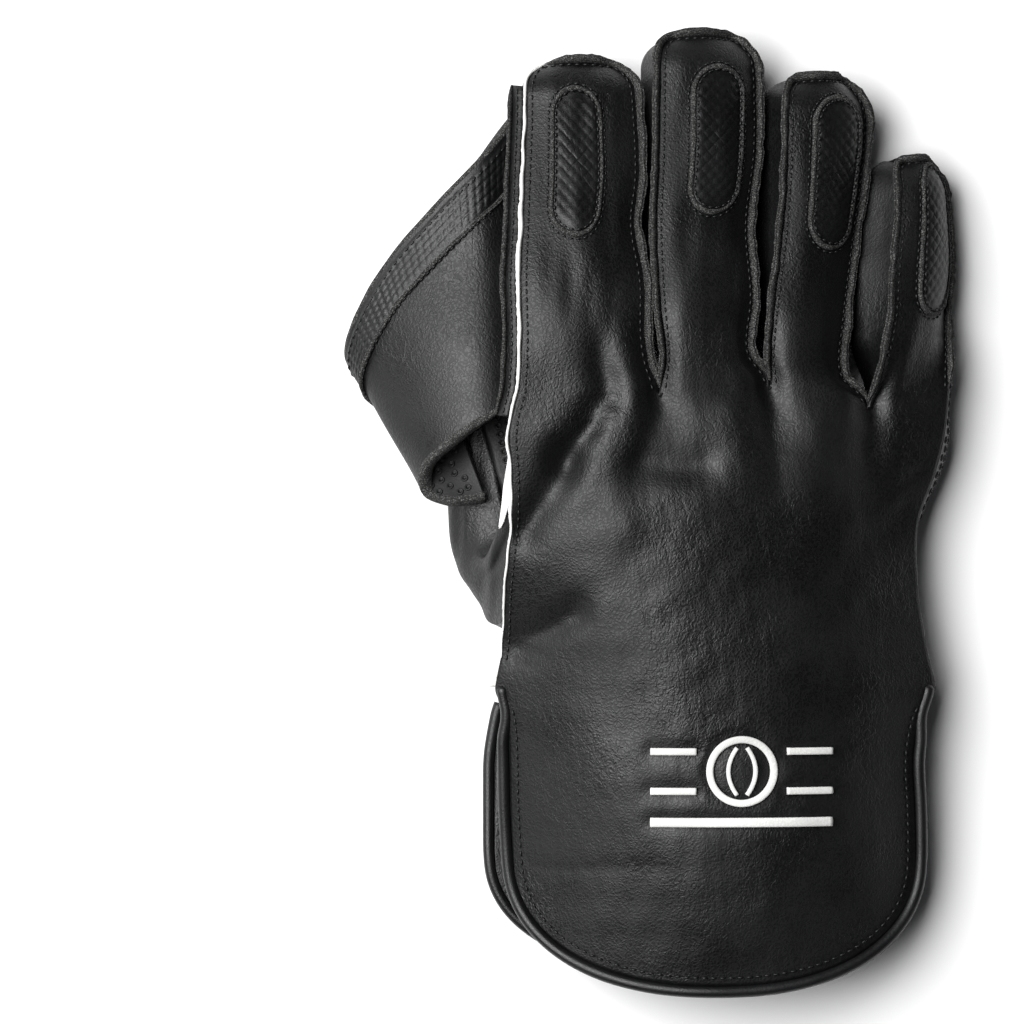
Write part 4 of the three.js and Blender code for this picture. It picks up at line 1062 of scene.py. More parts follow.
corners = FLOOR_HALF * np.array([(-1, -1, 0), (1, -1, 0), (1, 1, 0), (-1, 1, 0.0)])
floor = make_object("floor", corners, np.array([[0, 1, 2, 3]]), floor_finish(), smooth=False)
print("floor", 2 * FLOOR_HALF * MM, "m wide")

# %% [markdown]
# ## The back
# One skin of leather from the hem to the four fingertips. It is cut as a hand shape, so the
# grid is a body with four tongues: the body's last row is shared by the first rows of the
# fingers.

# %% Back leather
FINE_ACROSS = 36
FINE_ALONG = 100
BODY_STEPS = 90
CUFF_STEPS = 80

columns = np.linspace(0, 4, 4 * FINE_ACROSS + 1)
finger_stations = np.linspace(0, 1, FINE_ALONG + 1)
finger_stations = finger_stations - 0.6 * np.sin(2 * np.pi * finger_stations) / (2 * np.pi)
body_stations = np.linspace(0, 1, BODY_STEPS + 1)

column_grid, body_grid = np.meshgrid(columns, body_stations)
back_body = back_point(column_grid, body_grid)
palm_body = palm_point(column_grid, body_grid)
column_cuff, cuff_share = np.meshgrid(columns, np.linspace(0, 1, CUFF_STEPS + 1))
cuff = cuff_point(column_cuff, cuff_share)
cuff[-1] = back_body[0]


def finger_grid(finger, on_palm=False):
    """Rows from the crotch to the tip; the first row is the body's."""
    across, along = np.meshgrid(np.linspace(0, 1, FINE_ACROSS + 1), finger_stations)
    grid = finger_point(finger, across, along, on_palm)
    body = palm_body if on_palm else back_body
    grid[0] = body[-1, finger * FINE_ACROSS:(finger + 1) * FINE_ACROSS + 1]
    return grid


back_fingers = [finger_grid(k) for k in range(4)]
palm_fingers = [finger_grid(k, True) for k in range(4)]
points, quads = weld([cuff, back_body, *back_fingers])
back = make_object("glove_back", *walled(points, quads, LEATHER_WALL), black_leather)
dress(back, "black_leather", "back_leather")

# %% [markdown]
# ## The palm
# Split leather faced with rubber. It follows the same columns as the back, pressed flat under
# the heel of the hand.

# %% Palm
points, quads = weld([palm_body, *palm_fingers], flipped=True)
palm = make_object("glove_palm", *walled(points, quads, RUBBER_WALL), pimple_rubber)
dress(palm, "pimple_rubber", "palm_rubber")

# %% [markdown]
# ## Gussets and side walls
# Between back and palm runs a narrow strip, sewn to both. Between two fingers it is one
# strip that goes down one finger, round the crotch and up the next.

# %% Gussets
MIDDLE = FINE_ACROSS // 2
SEAM_TUCK = 0.8


def down_left(grid):
    return np.concatenate([grid[-1, MIDDLE::-1], grid[-2::-1, 0]])


def up_right(grid):
    return np.concatenate([grid[:, -1], grid[-1, -2:MIDDLE - 1:-1]])


def wall_between(top, bottom, swell, seed, count=16):
    """Straight lines from a seam of the back to the same seam of the palm, swollen outward,
    and puckered where the stitches pull the strip."""
    run = np.gradient(top, axis=0)
    out = np.stack([run[:, 1], -run[:, 0], 0 * run[:, 0]], 1)
    out /= np.maximum(np.linalg.norm(out, axis=1, keepdims=True), 1e-9)
    share = np.linspace(0, 1, count + 1)
    length = length_along(top)
    bow = swell * np.sin(np.pi * share)[None, :]
    pucker = 0.3 * np.sin(np.pi * share)[None, :] * ripple(length[:, None], 9 * share[None, :], seed, 9)
    grid = mix(top[:, None, :], bottom[:, None, :], share[None, :, None])
    return grid + out[:, None, :] * (bow + pucker)[..., None]


LOW_ROW = 2 * BODY_STEPS // 9
HIGH_ROW = 7 * BODY_STEPS // 9
index_top = np.concatenate([down_left(back_fingers[0]), back_body[-2:HIGH_ROW - 1:-1, 0]])
index_bottom = np.concatenate([down_left(palm_fingers[0]), palm_body[-2:HIGH_ROW - 1:-1, 0]])
little_top = np.concatenate([back_body[:-1, -1], up_right(back_fingers[3])])
little_bottom = np.concatenate([palm_body[:-1, -1], up_right(palm_fingers[3])])
index_wall = wall_between(index_top - np.array([0, 0, SEAM_TUCK]), index_bottom, 1.2, 31)
little_wall = wall_between(little_top, little_bottom, 1.2, 32)
for grid, name, node in (
    (index_wall, "index_side", "index_side_wall"), (little_wall, "little_side", "little_side_wall"),
):
    piece = make_object(name, *walled(*weld([grid]), LEATHER_WALL), black_leather)
    dress(piece, "black_leather", node)
for k, node in enumerate(("gusset_index_middle", "gusset_middle_ring", "gusset_ring_little")):
    top = np.concatenate([down_left(back_fingers[k + 1]), up_right(back_fingers[k])[1:]])
    bottom = np.concatenate([down_left(palm_fingers[k + 1]), up_right(palm_fingers[k])[1:]])
    grid = wall_between(top, bottom, -0.8, 40 + k)
    piece = make_object(node.replace("gusset", "strip"), *walled(*weld([grid]), LEATHER_WALL), black_leather)
    dress(piece, "black_leather", node)

# %% [markdown]
# ## The thumb stall
# The thumb stands off the hand, so its stall is a tube that grows out of a gap between back and
# palm. Its first ring is that gap: the back's edge, the end of the index finger's side, the
# palm's edge and the white wrist panel. Each further ring blends towards an oval, and a smooth
# curve through the ovals carries it to the tip.

# %% Wrist panel
WRIST_STEPS = 48


def wrist_point(row, share):
    """Between the back's edge and the palm's edge: the line bows out and sags at its middle."""
    top, bottom = back_body[row, :1], palm_body[row, :1]
    sag = -6 * row / LOW_ROW * np.sin(np.pi * share)
    x = mix(top[:, 0], bottom[:, 0], share**1.7)
    y = mix(top[:, 1], bottom[:, 1], share) + sag
    z = mix(top[:, 2], bottom[:, 2], 1 - (1 - share) ** 2.4)
    return np.stack([x, y, z], -1)


wrist_share = np.linspace(0, 1, WRIST_STEPS + 1)
wrist_grid = np.stack([wrist_point(row, wrist_share) for row in range(LOW_ROW + 1)])
wrist = make_object("wrist_white", *walled(*weld([wrist_grid], flipped=True), LEATHER_WALL), white_leather)
dress(wrist, "white_leather", "wrist_panel")

# %% Thumb rings
RINGS_BETWEEN = 9
TIP_RINGS = 10
THUMB_TIP = 2.5
LOOP_ANGLES = (208, 138, 70, -38, -152)

index_end = index_wall[-1]
loop_parts = [
    back_body[LOW_ROW:HIGH_ROW, 0], index_end[:-1],
    palm_body[HIGH_ROW:LOW_ROW:-1, 0], wrist_grid[LOW_ROW, :0:-1],
]
base_loop = np.concatenate(loop_parts)
loop_angle = np.radians(np.concatenate([
    np.linspace(LOOP_ANGLES[k], LOOP_ANGLES[k + 1], len(part), endpoint=False)
    for k, part in enumerate(loop_parts)
]))
thumb_axis = np.array([-0.42, 0.9, 0]) / np.hypot(0.42, 0.9)
thumb_side = np.array([thumb_axis[1], -thumb_axis[0], 0])


def thumb_ring(place):
    """The oval at one place along the table, mixed with the base loop by its hold."""
    rows = np.vstack([THUMB_ROWS[0] * [1, 0.6, 1, 1, 1, 0], THUMB_ROWS])
    x, y, z, reach, rise, hold = smooth_at(np.arange(len(rows)), rows, np.array(place))
    centre = np.array([x * BODY_WIDTH, y * THUMB_LENGTH, z * THUMB_HEIGHT])
    flat = np.cos(loop_angle) * reach * THUMB_WIDTH
    high = np.sin(loop_angle) * rise * THUMB_HEIGHT
    oval = centre + flat[:, None] * thumb_side + high[:, None] * np.array([0, 0, 1])
    oval[:, 2] = np.maximum(RING_ROOM, oval[:, 2])
    return mix(base_loop, oval, hold)


ring_places = np.linspace(0, len(THUMB_ROWS), RINGS_BETWEEN * len(THUMB_ROWS) + 1)
rings = [thumb_ring(place) for place in ring_places]
rings[0] = base_loop
last_oval = rings[-1]
tip_centre = last_oval.mean(0)
for angle in np.linspace(0, np.pi / 2, TIP_RINGS + 1)[1:]:
    flat_ring = tip_centre + (last_oval - tip_centre) * np.cos(angle)
    rings.append(flat_ring + thumb_axis * THUMB_TIP * np.sin(angle))
thumb_grid = np.stack(rings)
thumb_grid = np.concatenate([thumb_grid, thumb_grid[:, :1]], 1)
thumb_out = grid_normals(thumb_grid)
hold_back = eased(2, 14, np.arange(len(rings)))[:, None] * (1 - eased(66, 76, np.arange(len(rings))))[:, None]
wrinkle = 0.6 * ripple(thumb_grid[..., 0] * 1.8, thumb_grid[..., 1] * 0.35, 51, 8)
wrinkle = wrinkle + 0.3 * ripple(thumb_grid[..., 0], thumb_grid[..., 1], 52, 26)
thumb_grid = thumb_grid + (thumb_out * (hold_back * wrinkle)[..., None])
thumb_grid[..., 2] = np.maximum(RING_ROOM, thumb_grid[..., 2])
SEAM_LOW = len(loop_parts[0]) + len(loop_parts[1]) + len(loop_parts[2]) + 2 * len(loop_parts[3]) // 3
SEAM_HIGH = len(loop_parts[0]) + len(loop_parts[1]) // 2
leather_part = np.concatenate([thumb_grid[:, SEAM_LOW:-1], thumb_grid[:, :SEAM_HIGH + 1]], 1)
rubber_part = thumb_grid[:, SEAM_HIGH:SEAM_LOW + 1]
thumb = make_object("thumb_back", *walled(*weld([leather_part]), LEATHER_WALL), black_leather)
dress(thumb, "black_leather", "thumb_leather")
thumb_front = make_object("thumb_front", *walled(*weld([rubber_part]), LEATHER_WALL), pimple_rubber)
dress(thumb_front, "pimple_rubber", "thumb_rubber")

# %% Lining patch
# a leaf of the white lining that shows between the thumb and the back's edge
PATCH_ROWS = 9.0
PATCH_LIFT = 0.7
PATCH_Y = (37.0, 54.0)
edge_y = base_loop[:len(loop_parts[0]), 1]
patch_columns = np.flatnonzero((edge_y > PATCH_Y[0]) & (edge_y < PATCH_Y[1]))
first, last = patch_columns[0], patch_columns[-1] + 1
reach = PATCH_ROWS * np.sin(np.pi * np.linspace(0.06, 0.94, last - first)) ** 0.35
rows = np.linspace(0, 1, 13)[:, None] * reach
low = np.floor(rows).astype(int)
place = np.arange(first, last)[None]
lifted = thumb_grid + thumb_out * PATCH_LIFT
patch = mix(lifted[low, place], lifted[low + 1, place], (rows - low)[..., None])
lining = make_object("lining_patch", *walled(*weld([patch]), 0.5), white_leather)
dress(lining, "white_leather")
edge = smoothed(resample(back_body[:9, 0], 0.8), 3) + np.array([-1.0, 0, -1.5])
turn = np.linspace(0, 2 * np.pi, 12, endpoint=False)
ring = np.stack([1.3 * np.cos(turn), 0 * turn, 0.8 * np.sin(turn)], 1)
wrist_edge = make_object("wrist_white_edge", *swept(edge[:, None] + ring[None]), white_leather)
dress(wrist_edge, "white_leather")

# %% [markdown]
# ## The catching web
# A band of leather lined with rubber runs from the index finger round to the thumb and stands
# open like a pocket. Its lower edge is free and curls in, its rim carries an embossed strip.
# One ruled surface between two smooth edge curves gives the band; the strip is the part of the
# same surface nearest the rim, so that the seam between them is exact.

# %% Web
WEB_ALONG = 150
WEB_DROP = 3.0
WEB_WALL = 1.6
WEB_SEAT = 0.5


def web_point(place, share):
    """Between the lower edge, share 0, and the rim, share 1; both are smooth through the table."""
    at = np.linspace(0, 1, len(WEB_ROWS))
    read = smooth_at(at, WEB_ROWS, place)
    scale = np.array([WEB_REACH, WEB_LENGTH, BACK_HEIGHT])
    start = np.array([back_left(np.array(float(HEEL_TO_CROTCH))) - WEB_STAND_OFF,
                      HEEL_TO_CROTCH - WEB_DROP, 0.0])
    low, high = start + read[..., :3] * scale, start + read[..., 3:] * scale
    return mix(low, high, share[..., None])


def web_grid(start, end, count, lift, relief=0.0):
    """A stretch of the band between two shares, set off its own face by lift and relief."""
    place, share = np.meshgrid(np.linspace(0, 1, WEB_ALONG + 1), np.linspace(start, end, count + 1), indexing="ij")
    grid = web_point(place, share)
    out = grid_normals(grid)
    slack = 0.5 * ripple(grid[..., 0], grid[..., 1], 61, 30) * np.sin(np.pi * share)
    return grid + out * (lift + relief + slack)[..., None], out, place, share


STRIP_SHARE = 1 - WEB_STRIP / WEB_LENGTH
WEAVE_CELL = 2.9


def weave(u, v, cell):
    """Basket weave: strands cross over and under, each with a rounded back. 0 to 1."""
    i, j = np.floor(u / cell), np.floor(v / cell)
    a, b = u / cell - i, v / cell - j
    over = (i + j) % 2 == 0
    across = np.where(over, a, b)
    along = np.where(over, b, a)
    return (1 - (2 * across - 1) ** 4) * (1 - 0.55 * (2 * along - 1) ** 2)


outer, web_out, _, _ = web_grid(0, STRIP_SHARE, 76, WEB_WALL + WEB_SEAT)
web_back = make_object("web_back", *walled(*weld([outer]), WEB_WALL), black_leather)
dress(web_back, "black_leather", "web_leather")
STRIP_STEPS = 38
place, share = np.meshgrid(np.linspace(0, 1, WEB_ALONG * 2 + 1), np.linspace(STRIP_SHARE, 1, STRIP_STEPS + 1), indexing="ij")
strip = web_point(place, share)
strip_out = grid_normals(strip)
run_mm = length_along(strip[:, STRIP_STEPS // 2])[:, None]
over_mm = (share - STRIP_SHARE) * WEB_LENGTH
inside = eased(1.6, 2.6, over_mm) * (1 - eased(WEB_STRIP - 3.2, WEB_STRIP - 2.2, over_mm))
swell = 0.5 * ripple(strip[..., 0], strip[..., 1], 61, 30) * np.sin(np.pi * share)
strip = strip + strip_out * (WEB_WALL + WEB_SEAT + 0.35 + swell + 0.32 * inside * weave(run_mm + 0 * over_mm, over_mm, WEAVE_CELL))[..., None]
web_strip = make_object("web_strip", *walled(*weld([strip]), WEB_WALL), embossed_leather)
dress(web_strip, "embossed_leather", "web_edge_strip")
inner, web_inner_out, _, _ = web_grid(0, 1, 64, 0.0)
web_inside = make_object("web_inside", *walled(*weld([inner]), WEB_WALL), pimple_rubber)
dress(web_inside, "pimple_rubber", "web_rubber")

# %% [markdown]
# ## Raw seams
# The finger stalls are sewn with their seams outward. The two cut edges stand up like a thin
# wall round each finger, paler than the leather because the cut shows its fibre. A bar carried
# along the finger's outline gives it, with a slot between the two plies and an uneven top.

# %% Seam bars
SEAM_UPRIGHT = 0.7


# across and up in shares of the bar's width and height: two plies with a slot between them
PLY_SECTION = np.array([
    (-0.5, 0.0), (-0.5, 0.55), (-0.44, 0.92), (-0.24, 1.0), (-0.08, 0.9), (0.0, 0.62),
    (0.08, 0.9), (0.24, 1.0), (0.44, 0.92), (0.5, 0.55), (0.5, 0.0),
])


def standing_bar(line, out, width, height, seed, lift=0.2):
    """The ply section carried along a seam; its size wanders a little, as a hand-cut edge does."""
    run = unit(np.gradient(line, axis=0))
    side = unit(np.cross(run, out))
    length = length_along(line)
    ends = np.clip(np.minimum(length, length[-1] - length) / 7 + 0.15, 0, 1)
    uneven = 1 + 0.22 * waver(length, seed, 9) + 0.16 * waver(length, seed + 1, 3)
    tall = height * ends * uneven
    wide = width * ends**0.5 * (1 + 0.24 * waver(length, seed + 2, 6))
    sway = 0.5 * ends * waver(length, seed + 3, 14)
    across, up = PLY_SECTION.T
    return (line[:, None] + side[:, None] * (across * wide[:, None] + sway[:, None] * up)[..., None]
            + out[:, None] * (up * tall[:, None] + lift * (up > 0) - 0.3 * (up == 0))[..., None])


def finger_outline(finger, start, left=True):
    """Up the right side of a finger's back, across its tip and down its left side, with the
    direction in which a seam stands off it."""
    grid, out = back_fingers[finger], grid_normals(back_fingers[finger])
    pick = lambda array: np.concatenate(
        [array[start:, -1], array[-1, -2:0:-1]] + ([array[::-1, 0][:len(array) - start]] if left else [])
    )
    line, face = resample_pair(pick(grid), pick(out), 0.9)
    line = smoothed(line, 3)
    run = unit(np.gradient(line, axis=0))
    side = unit(np.stack([run[:, 1], -run[:, 0], 0 * run[:, 0]], 1))
    stand = unit(unit(unit(face) + side) + np.array([0, 0, SEAM_UPRIGHT]))
    return line, smoothed(stand, 6)


SEAM_ROWS = {"index": 4, "middle": 4, "ring": 4, "little": 4}
for finger, name in enumerate(NAMES):
    line, stand = finger_outline(finger, SEAM_ROWS[name], left=finger > 0)
    bar = make_object(name + "_seam", *swept(standing_bar(line, stand, 1.7, 2.4, 70 + 5 * finger)), raw_edge)
    dress(bar, "raw_edge", "outseam_" + name)

# %% White welt
index_edge = np.concatenate([back_fingers[0][::-1, 0], back_body[-2:8:-1, 0]])
edge_face = np.concatenate([grid_normals(back_fingers[0])[::-1, 0], grid_normals(back_body)[-2:8:-1, 0]])
welt_line, welt_face = resample_pair(index_edge, edge_face, 0.9)
welt_line = smoothed(welt_line, 4)
WELT_SWAY = 0.35
run = unit(np.gradient(welt_line, axis=0))
welt_side = unit(np.stack([run[:, 1], -run[:, 0], 0 * run[:, 0]], 1))
welt_out = smoothed(unit(unit(unit(welt_face) + welt_side) + np.array([0, 0, SEAM_UPRIGHT])), 6)
# from the fingertip down: y, width and height of the white strip in millimetres
WELT_ROWS = np.array([
    (-16, 0.7, 0.8), (0, 0.8, 1.0), (8, 1.0, 1.4), (24, 1.1, 1.6), (36, 1.5, 2.2), (52, 1.2, 2.2), (75, 1.4, 2.5),
    (105, 1.9, 2.7), (130, 1.7, 2.6), (150, 1.3, 2.4), (165, 1.2, 2.2), (176, 1.0, 2.0),
])
WELT_STAND = 0.4
WELT_NARROW = 0.62
welt_size = smooth_at(WELT_ROWS[:, 0], WELT_ROWS[:, 1:], welt_line[:, 1])
length = length_along(welt_line)
wander = 1 + 0.3 * waver(length, 91, 11) + 0.22 * waver(length, 92, 3)
across, up = np.array([(-0.5, -0.15), (-0.5, 0.9), (-0.3, 1.0), (0.3, 1.0), (0.5, 0.9), (0.5, -0.15)]).T
welt_across = unit(np.cross(run, welt_out))
welt_sway = WELT_SWAY * waver(length, 93, 10)[:, None]
welt_section = ((welt_line + welt_side * welt_sway)[:, None]
                + welt_across[:, None] * (across * (welt_size[:, :1] * WELT_NARROW * wander[:, None]))[..., None]
                + welt_out[:, None] * (up * welt_size[:, 1:] * WELT_STAND * wander[:, None])[..., None])
welt = make_object("welt", *swept(welt_section), white_leather)
dress(welt, "white_leather", "white_welt")

# %% [markdown]
# ## Seam tape beside the welt
# The web is sewn on to the index finger's side under a narrow tape. Seen from above it is a
# dark band left of the white welt, with a row of stitches and a raw outer edge.

# %% Web tape
TAPE_WIDTH = 3.6
TAPE_FALL = 2.4
TAPE_END = 62.0
TAPE_START = 167.0
keep = (welt_line[:, 1] > TAPE_END) & (welt_line[:, 1] < TAPE_START)
tape_base, tape_side = welt_line[keep], smoothed(welt_side[keep], 6)
tape_share = np.linspace(0, 1, 9)
length = length_along(tape_base)
bulge = 0.5 * np.sin(np.pi * tape_share)[None, :] + 0.12 * ripple(length[:, None], 4 * tape_share[None, :], 95, 4)
tape = (tape_base[:, None] + tape_side[:, None] * (0.8 + TAPE_WIDTH * tape_share)[None, :, None]
        + np.array([0, 0, 1]) * (0.6 - TAPE_FALL * tape_share[None, :] ** 1.3 + bulge)[..., None])
tape_piece = make_object("web_tape", *walled(*weld([tape], flipped=False), 1.3), black_leather)
dress(tape_piece, "black_leather")
edge_out = unit(tape_side + np.array([0, 0, 1.1]))
tape_edge = make_object("web_tape_edge", *swept(standing_bar(tape[:, -1], edge_out, 1.1, 1.5, 97)), raw_edge)
dress(tape_edge, "raw_edge")

# %% Web rim and lower edge
rim_line = resample(web_point(np.linspace(0, 1, 300), np.ones(300)), 0.9)
rim_low = resample(web_point(np.linspace(0, 1, 300), 0.985 * np.ones(300)), 0.9)[:len(rim_line)]
_, all_out, _, _ = web_grid(0, 1, 20, 0.0)
rim_out = resample_pair(web_point(np.linspace(0, 1, WEB_ALONG + 1), np.ones(WEB_ALONG + 1)), all_out[:, -1], 0.9)[1]
low_line, low_out = resample_pair(web_point(np.linspace(0, 1, WEB_ALONG + 1), np.zeros(WEB_ALONG + 1)), all_out[:, 0], 0.9)


def edge_band(line, out, seed, thickness=4.3, stand=1.3):
    """A cut edge through all the band's plies: its section is as deep as the plies and stands
    a little past them."""
    run = unit(np.gradient(line, axis=0))
    away = unit(np.cross(out, run))
    length = length_along(line)
    deep = thickness * (1 + 0.05 * waver(length, seed, 8))
    past = stand * (1 + 0.2 * waver(length, seed + 1, 10))
    turn = np.linspace(0, 2 * np.pi, 13)[:-1]
    u, v = np.sign(np.cos(turn)) * np.abs(np.cos(turn)) ** 0.5, np.sign(np.sin(turn)) * np.abs(np.sin(turn)) ** 0.7
    middle = line + out * (0.35 * 1.0)
    return middle[:, None] + out[:, None] * (u * deep[:, None] / 2)[..., None] + away[:, None] * (v * past[:, None])[..., None]


for name, line, out, seed in (("web_rim", rim_line, rim_out[:len(rim_line)], 101), ("web_lower_edge", low_line, low_out, 104)):
    count = min(len(line), len(out))
    band = make_object(name, *swept(edge_band(line[:count], smoothed(out[:count], 4), seed)), raw_edge)
    dress(band, "raw_edge")

# %% Web seam
fold_source = web_point(np.linspace(0, 1, WEB_ALONG + 1), np.full(WEB_ALONG + 1, STRIP_SHARE))
fold_line, fold_out = resample_pair(fold_source, web_out[:, -1], 0.9)
fold_line = fold_line + fold_out * (WEB_WALL + WEB_SEAT + 0.25)
fold = make_object("web_fold", *swept(standing_bar(fold_line, fold_out, 1.2, 0.75, 107)), raw_edge)
dress(fold, "raw_edge")

# %% [markdown]
# ## Fingertip pads
# An oval of embossed leather is let in under a raised raw edge on each fingertip. A stadium,
# two straight sides joined by half circles, is laid on the finger's own surface: its places
# are measured across and along the finger, so the pad bends with it.

# %% Pads
PAD_LENGTH = 47.0
PAD_WIDTH = 18.0
PAD_WEAVE = 2.7
# across, along and lean of each pad as shares of its finger
PADS = {
    "index": (0.44, 0.69, -0.05), "middle": (0.55, 0.7, 0.0),
    "ring": (0.56, 0.7, 0.0), "little": (0.62, 0.66, 0.0),
}
stitch_lines = []


def stadium(length, width, step):
    """Outline at equal steps, counterclockwise, with the direction out of it at each place."""
    half, reach = width / 2, (length - width) / 2
    turn = np.linspace(0, np.pi, 60)
    top = np.stack([half * np.cos(turn), reach + half * np.sin(turn)], 1)
    low = np.stack([-half * np.cos(turn), -reach - half * np.sin(turn)], 1)
    outline = resample(np.concatenate([top, low, top[:1]]), step)[:-1]
    run = unit(np.roll(outline, -1, 0) - np.roll(outline, 1, 0))
    return outline, np.stack([run[:, 1], -run[:, 0]], 1)


def pad_surface(finger, places):
    """Points and normals of a finger's back at places in millimetres from its pad's middle."""
    name = NAMES[finger]
    size, (across, along, lean) = FINGERS[name], PADS[name]
    true_width = size["width"] / np.cos(np.radians(size["roll"]))
    v = along + places[..., 1] / size["length"]
    u = across + places[..., 0] / true_width + (v - along) * lean
    at = finger_point(finger, u, v)
    right, up = finger_point(finger, u + 0.02, v, fine=0), finger_point(finger, u, v + 0.02, fine=0)
    flat = finger_point(finger, u, v, fine=0)
    return at, unit(np.cross(right - flat, up - flat))


def pad_disc(finger):
    """Rings of the outline drawn in to its middle; the weave is turned by an eighth."""
    outline, _ = stadium(PAD_LENGTH - 2.6, PAD_WIDTH - 2.6, 0.75)
    share = np.linspace(0, 1, 34)[:, None]
    places = share[..., None] * np.concatenate([outline, outline[:1]])[None]
    turned = (places[..., 0] + places[..., 1]) / np.sqrt(2), (places[..., 1] - places[..., 0]) / np.sqrt(2)
    relief = weave(turned[0], turned[1], PAD_WEAVE) * (1 - eased(0.84, 0.97, share))
    at, out = pad_surface(finger, places)
    return at + out * (0.55 + 0.45 * (1 - share**2) + 0.26 * relief)[..., None]


def pad_ridge(finger):
    """The raw edge: a rounded ridge carried round the outline."""
    outline, aside = stadium(PAD_LENGTH - 1.0, PAD_WIDTH - 1.0, 0.9)
    length = np.arange(len(outline)) * 0.9
    wander = 1 + 0.1 * np.sin(length / 2.1 + finger) + 0.08 * np.sin(length / 0.9)
    across, up = np.array([(-0.75, -0.1), (-0.72, 0.8), (-0.45, 1.15), (0.1, 1.2), (0.5, 0.95), (0.75, 0.35), (0.75, -0.1)]).T
    places = outline[:, None] + aside[:, None] * (across * wander[:, None])[..., None]
    at, out = pad_surface(finger, places)
    return at + out * (up * wander[:, None])[..., None]


for finger, name in enumerate(NAMES):
    disc = make_object(name + "_inlay", *walled(*weld([pad_disc(finger)], flipped=True), 0.5), embossed_leather)
    dress(disc, "embossed_leather", name + "_pad")
    ridge = make_object(name + "_inlay_edge", *swept(pad_ridge(finger), closed_path=True), raw_edge)
    dress(ridge, "raw_edge", name + "_pad_rim")
    for shrink, lift in ((-1.9, 0.0), (3.4, 1.0)):
        outline, _ = stadium(PAD_LENGTH - shrink, PAD_WIDTH - shrink, 0.8)
        at, out = pad_surface(finger, np.concatenate([outline, outline[:1]]))
        stitch_lines.append((at + out * lift, out, 2.4))

# %% [markdown]
# ## Piping round the cuff
# A cord wrapped in soft leather is sewn into the hem. It is a tube along the hem's own line,
# held just outside it.

# %% Piping
PIPE = 1.95


def outward(line):
    """Level direction to the right of the way along a line."""
    run = np.gradient(line, axis=0)
    return unit(np.stack([run[:, 1], -run[:, 0], 0 * run[:, 0]], 1))


def tube(path, radius, sides=16):
    """A ring of points round each place of the path, square to its run."""
    run = unit(np.gradient(path, axis=0))
    side = unit(np.cross(run, np.array([0, 0, 1.0])))
    up = np.cross(side, run)
    turn = np.linspace(0, 2 * np.pi, sides, endpoint=False)
    size = np.broadcast_to(radius, len(path))[:, None, None]
    return path[:, None] + size * (side[:, None] * -np.cos(turn)[:, None] + up[:, None] * np.sin(turn)[:, None])


hem = np.concatenate([cuff[:0:-1, 0], cuff[0], cuff[1:, -1]])
hem = smoothed(resample(hem, 1.2), 6)
hem_out = smoothed(outward(hem), 8)
draw_in = PIPING * eased(-40, -HEEL_TO_WRIST, hem[:, 1])
pipe_path = hem + hem_out * (PIPE - 0.1 - draw_in)[:, None] + np.array([0, 0, -0.9])
pipe_path[:, 2] += 1.4 * eased(-34, -HEEL_TO_WRIST, hem[:, 1])
length = np.arange(len(hem)) * 1.2
pipe_size = PIPE * (1 + 0.035 * waver(length, 111, 16)) * np.clip(np.minimum(length, length[::-1]) / 2 + 0.55, 0, 1)
pipe = make_object("hem_piping", *swept(tube(pipe_path, pipe_size)), piping_leather)
dress(pipe, "piping", "back_piping")


def back_surface(places, fine=1.0):
    """Points and normals of the back at level places."""
    x, y = places[..., 0], places[..., 1]
    at = np.stack([x, y, back_z(x, y, fine)], -1)
    step = 0.8
    right = np.stack([x + step, y, back_z(x + step, y, 0.0)], -1)
    up = np.stack([x, y + step, back_z(x, y + step, 0.0)], -1)
    flat = np.stack([x, y, back_z(x, y, 0.0)], -1)
    return at, unit(np.cross(right - flat, up - flat))


at, out = back_surface((hem - hem_out * 2.6)[8:-8, :2])
stitch_lines.append((at, out, 2.8))

# %% [markdown]
# ## The palm half of the cuff
# Under the wrist lies a flap with a quilted band and ribs that guard the heel of the hand. The
# ribs are foam sewn between two leathers: each is a pillow section carried along its length,
# and the flap above them is a flat sheet with its own piping.

# %% Flap
FLAP_LENGTH = 87.0
FLAP_WIDTH = 131.0
FLAP_CORNER = 36.0
FLAP_CENTRE = -5.0
FLAP_TOP = -HEEL_TO_WRIST - 0.5
FLAP_SEAT = 3.8
FLAP_SHEET = 1.8
PADDING = 3.3
BAND_WIDTH = 18.0
RIB_WIDTH = 15.7
RIB_LENGTH = 38.0
RIBS = 8


def flap_point(across, share):
    """The same superellipse hem as the back's cuff, on the level."""
    rounded = (1 - np.cos(np.pi * across)) / 2
    at = mix(mix(across, rounded, 0.7), across, eased(0, 0.6, share))
    drop = np.maximum(0, 1 - np.abs(2 * at - 1) ** 2.4) ** (1 / 2.4)
    hem_y = FLAP_TOP - FLAP_LENGTH + FLAP_CORNER * (1 - drop)
    waist = 1 - 0.05 * eased(0.5, 1, share) - 0.12 * eased(0.86, 1, share) * (at < 0.5)
    x = FLAP_CENTRE + (at - 0.5) * FLAP_WIDTH * waist
    y = mix(hem_y, FLAP_TOP, share)
    return np.stack([x, y, FLAP_SEAT + FLAP_SHEET + 0.12 * ripple(x, y, 121, 22)], -1)


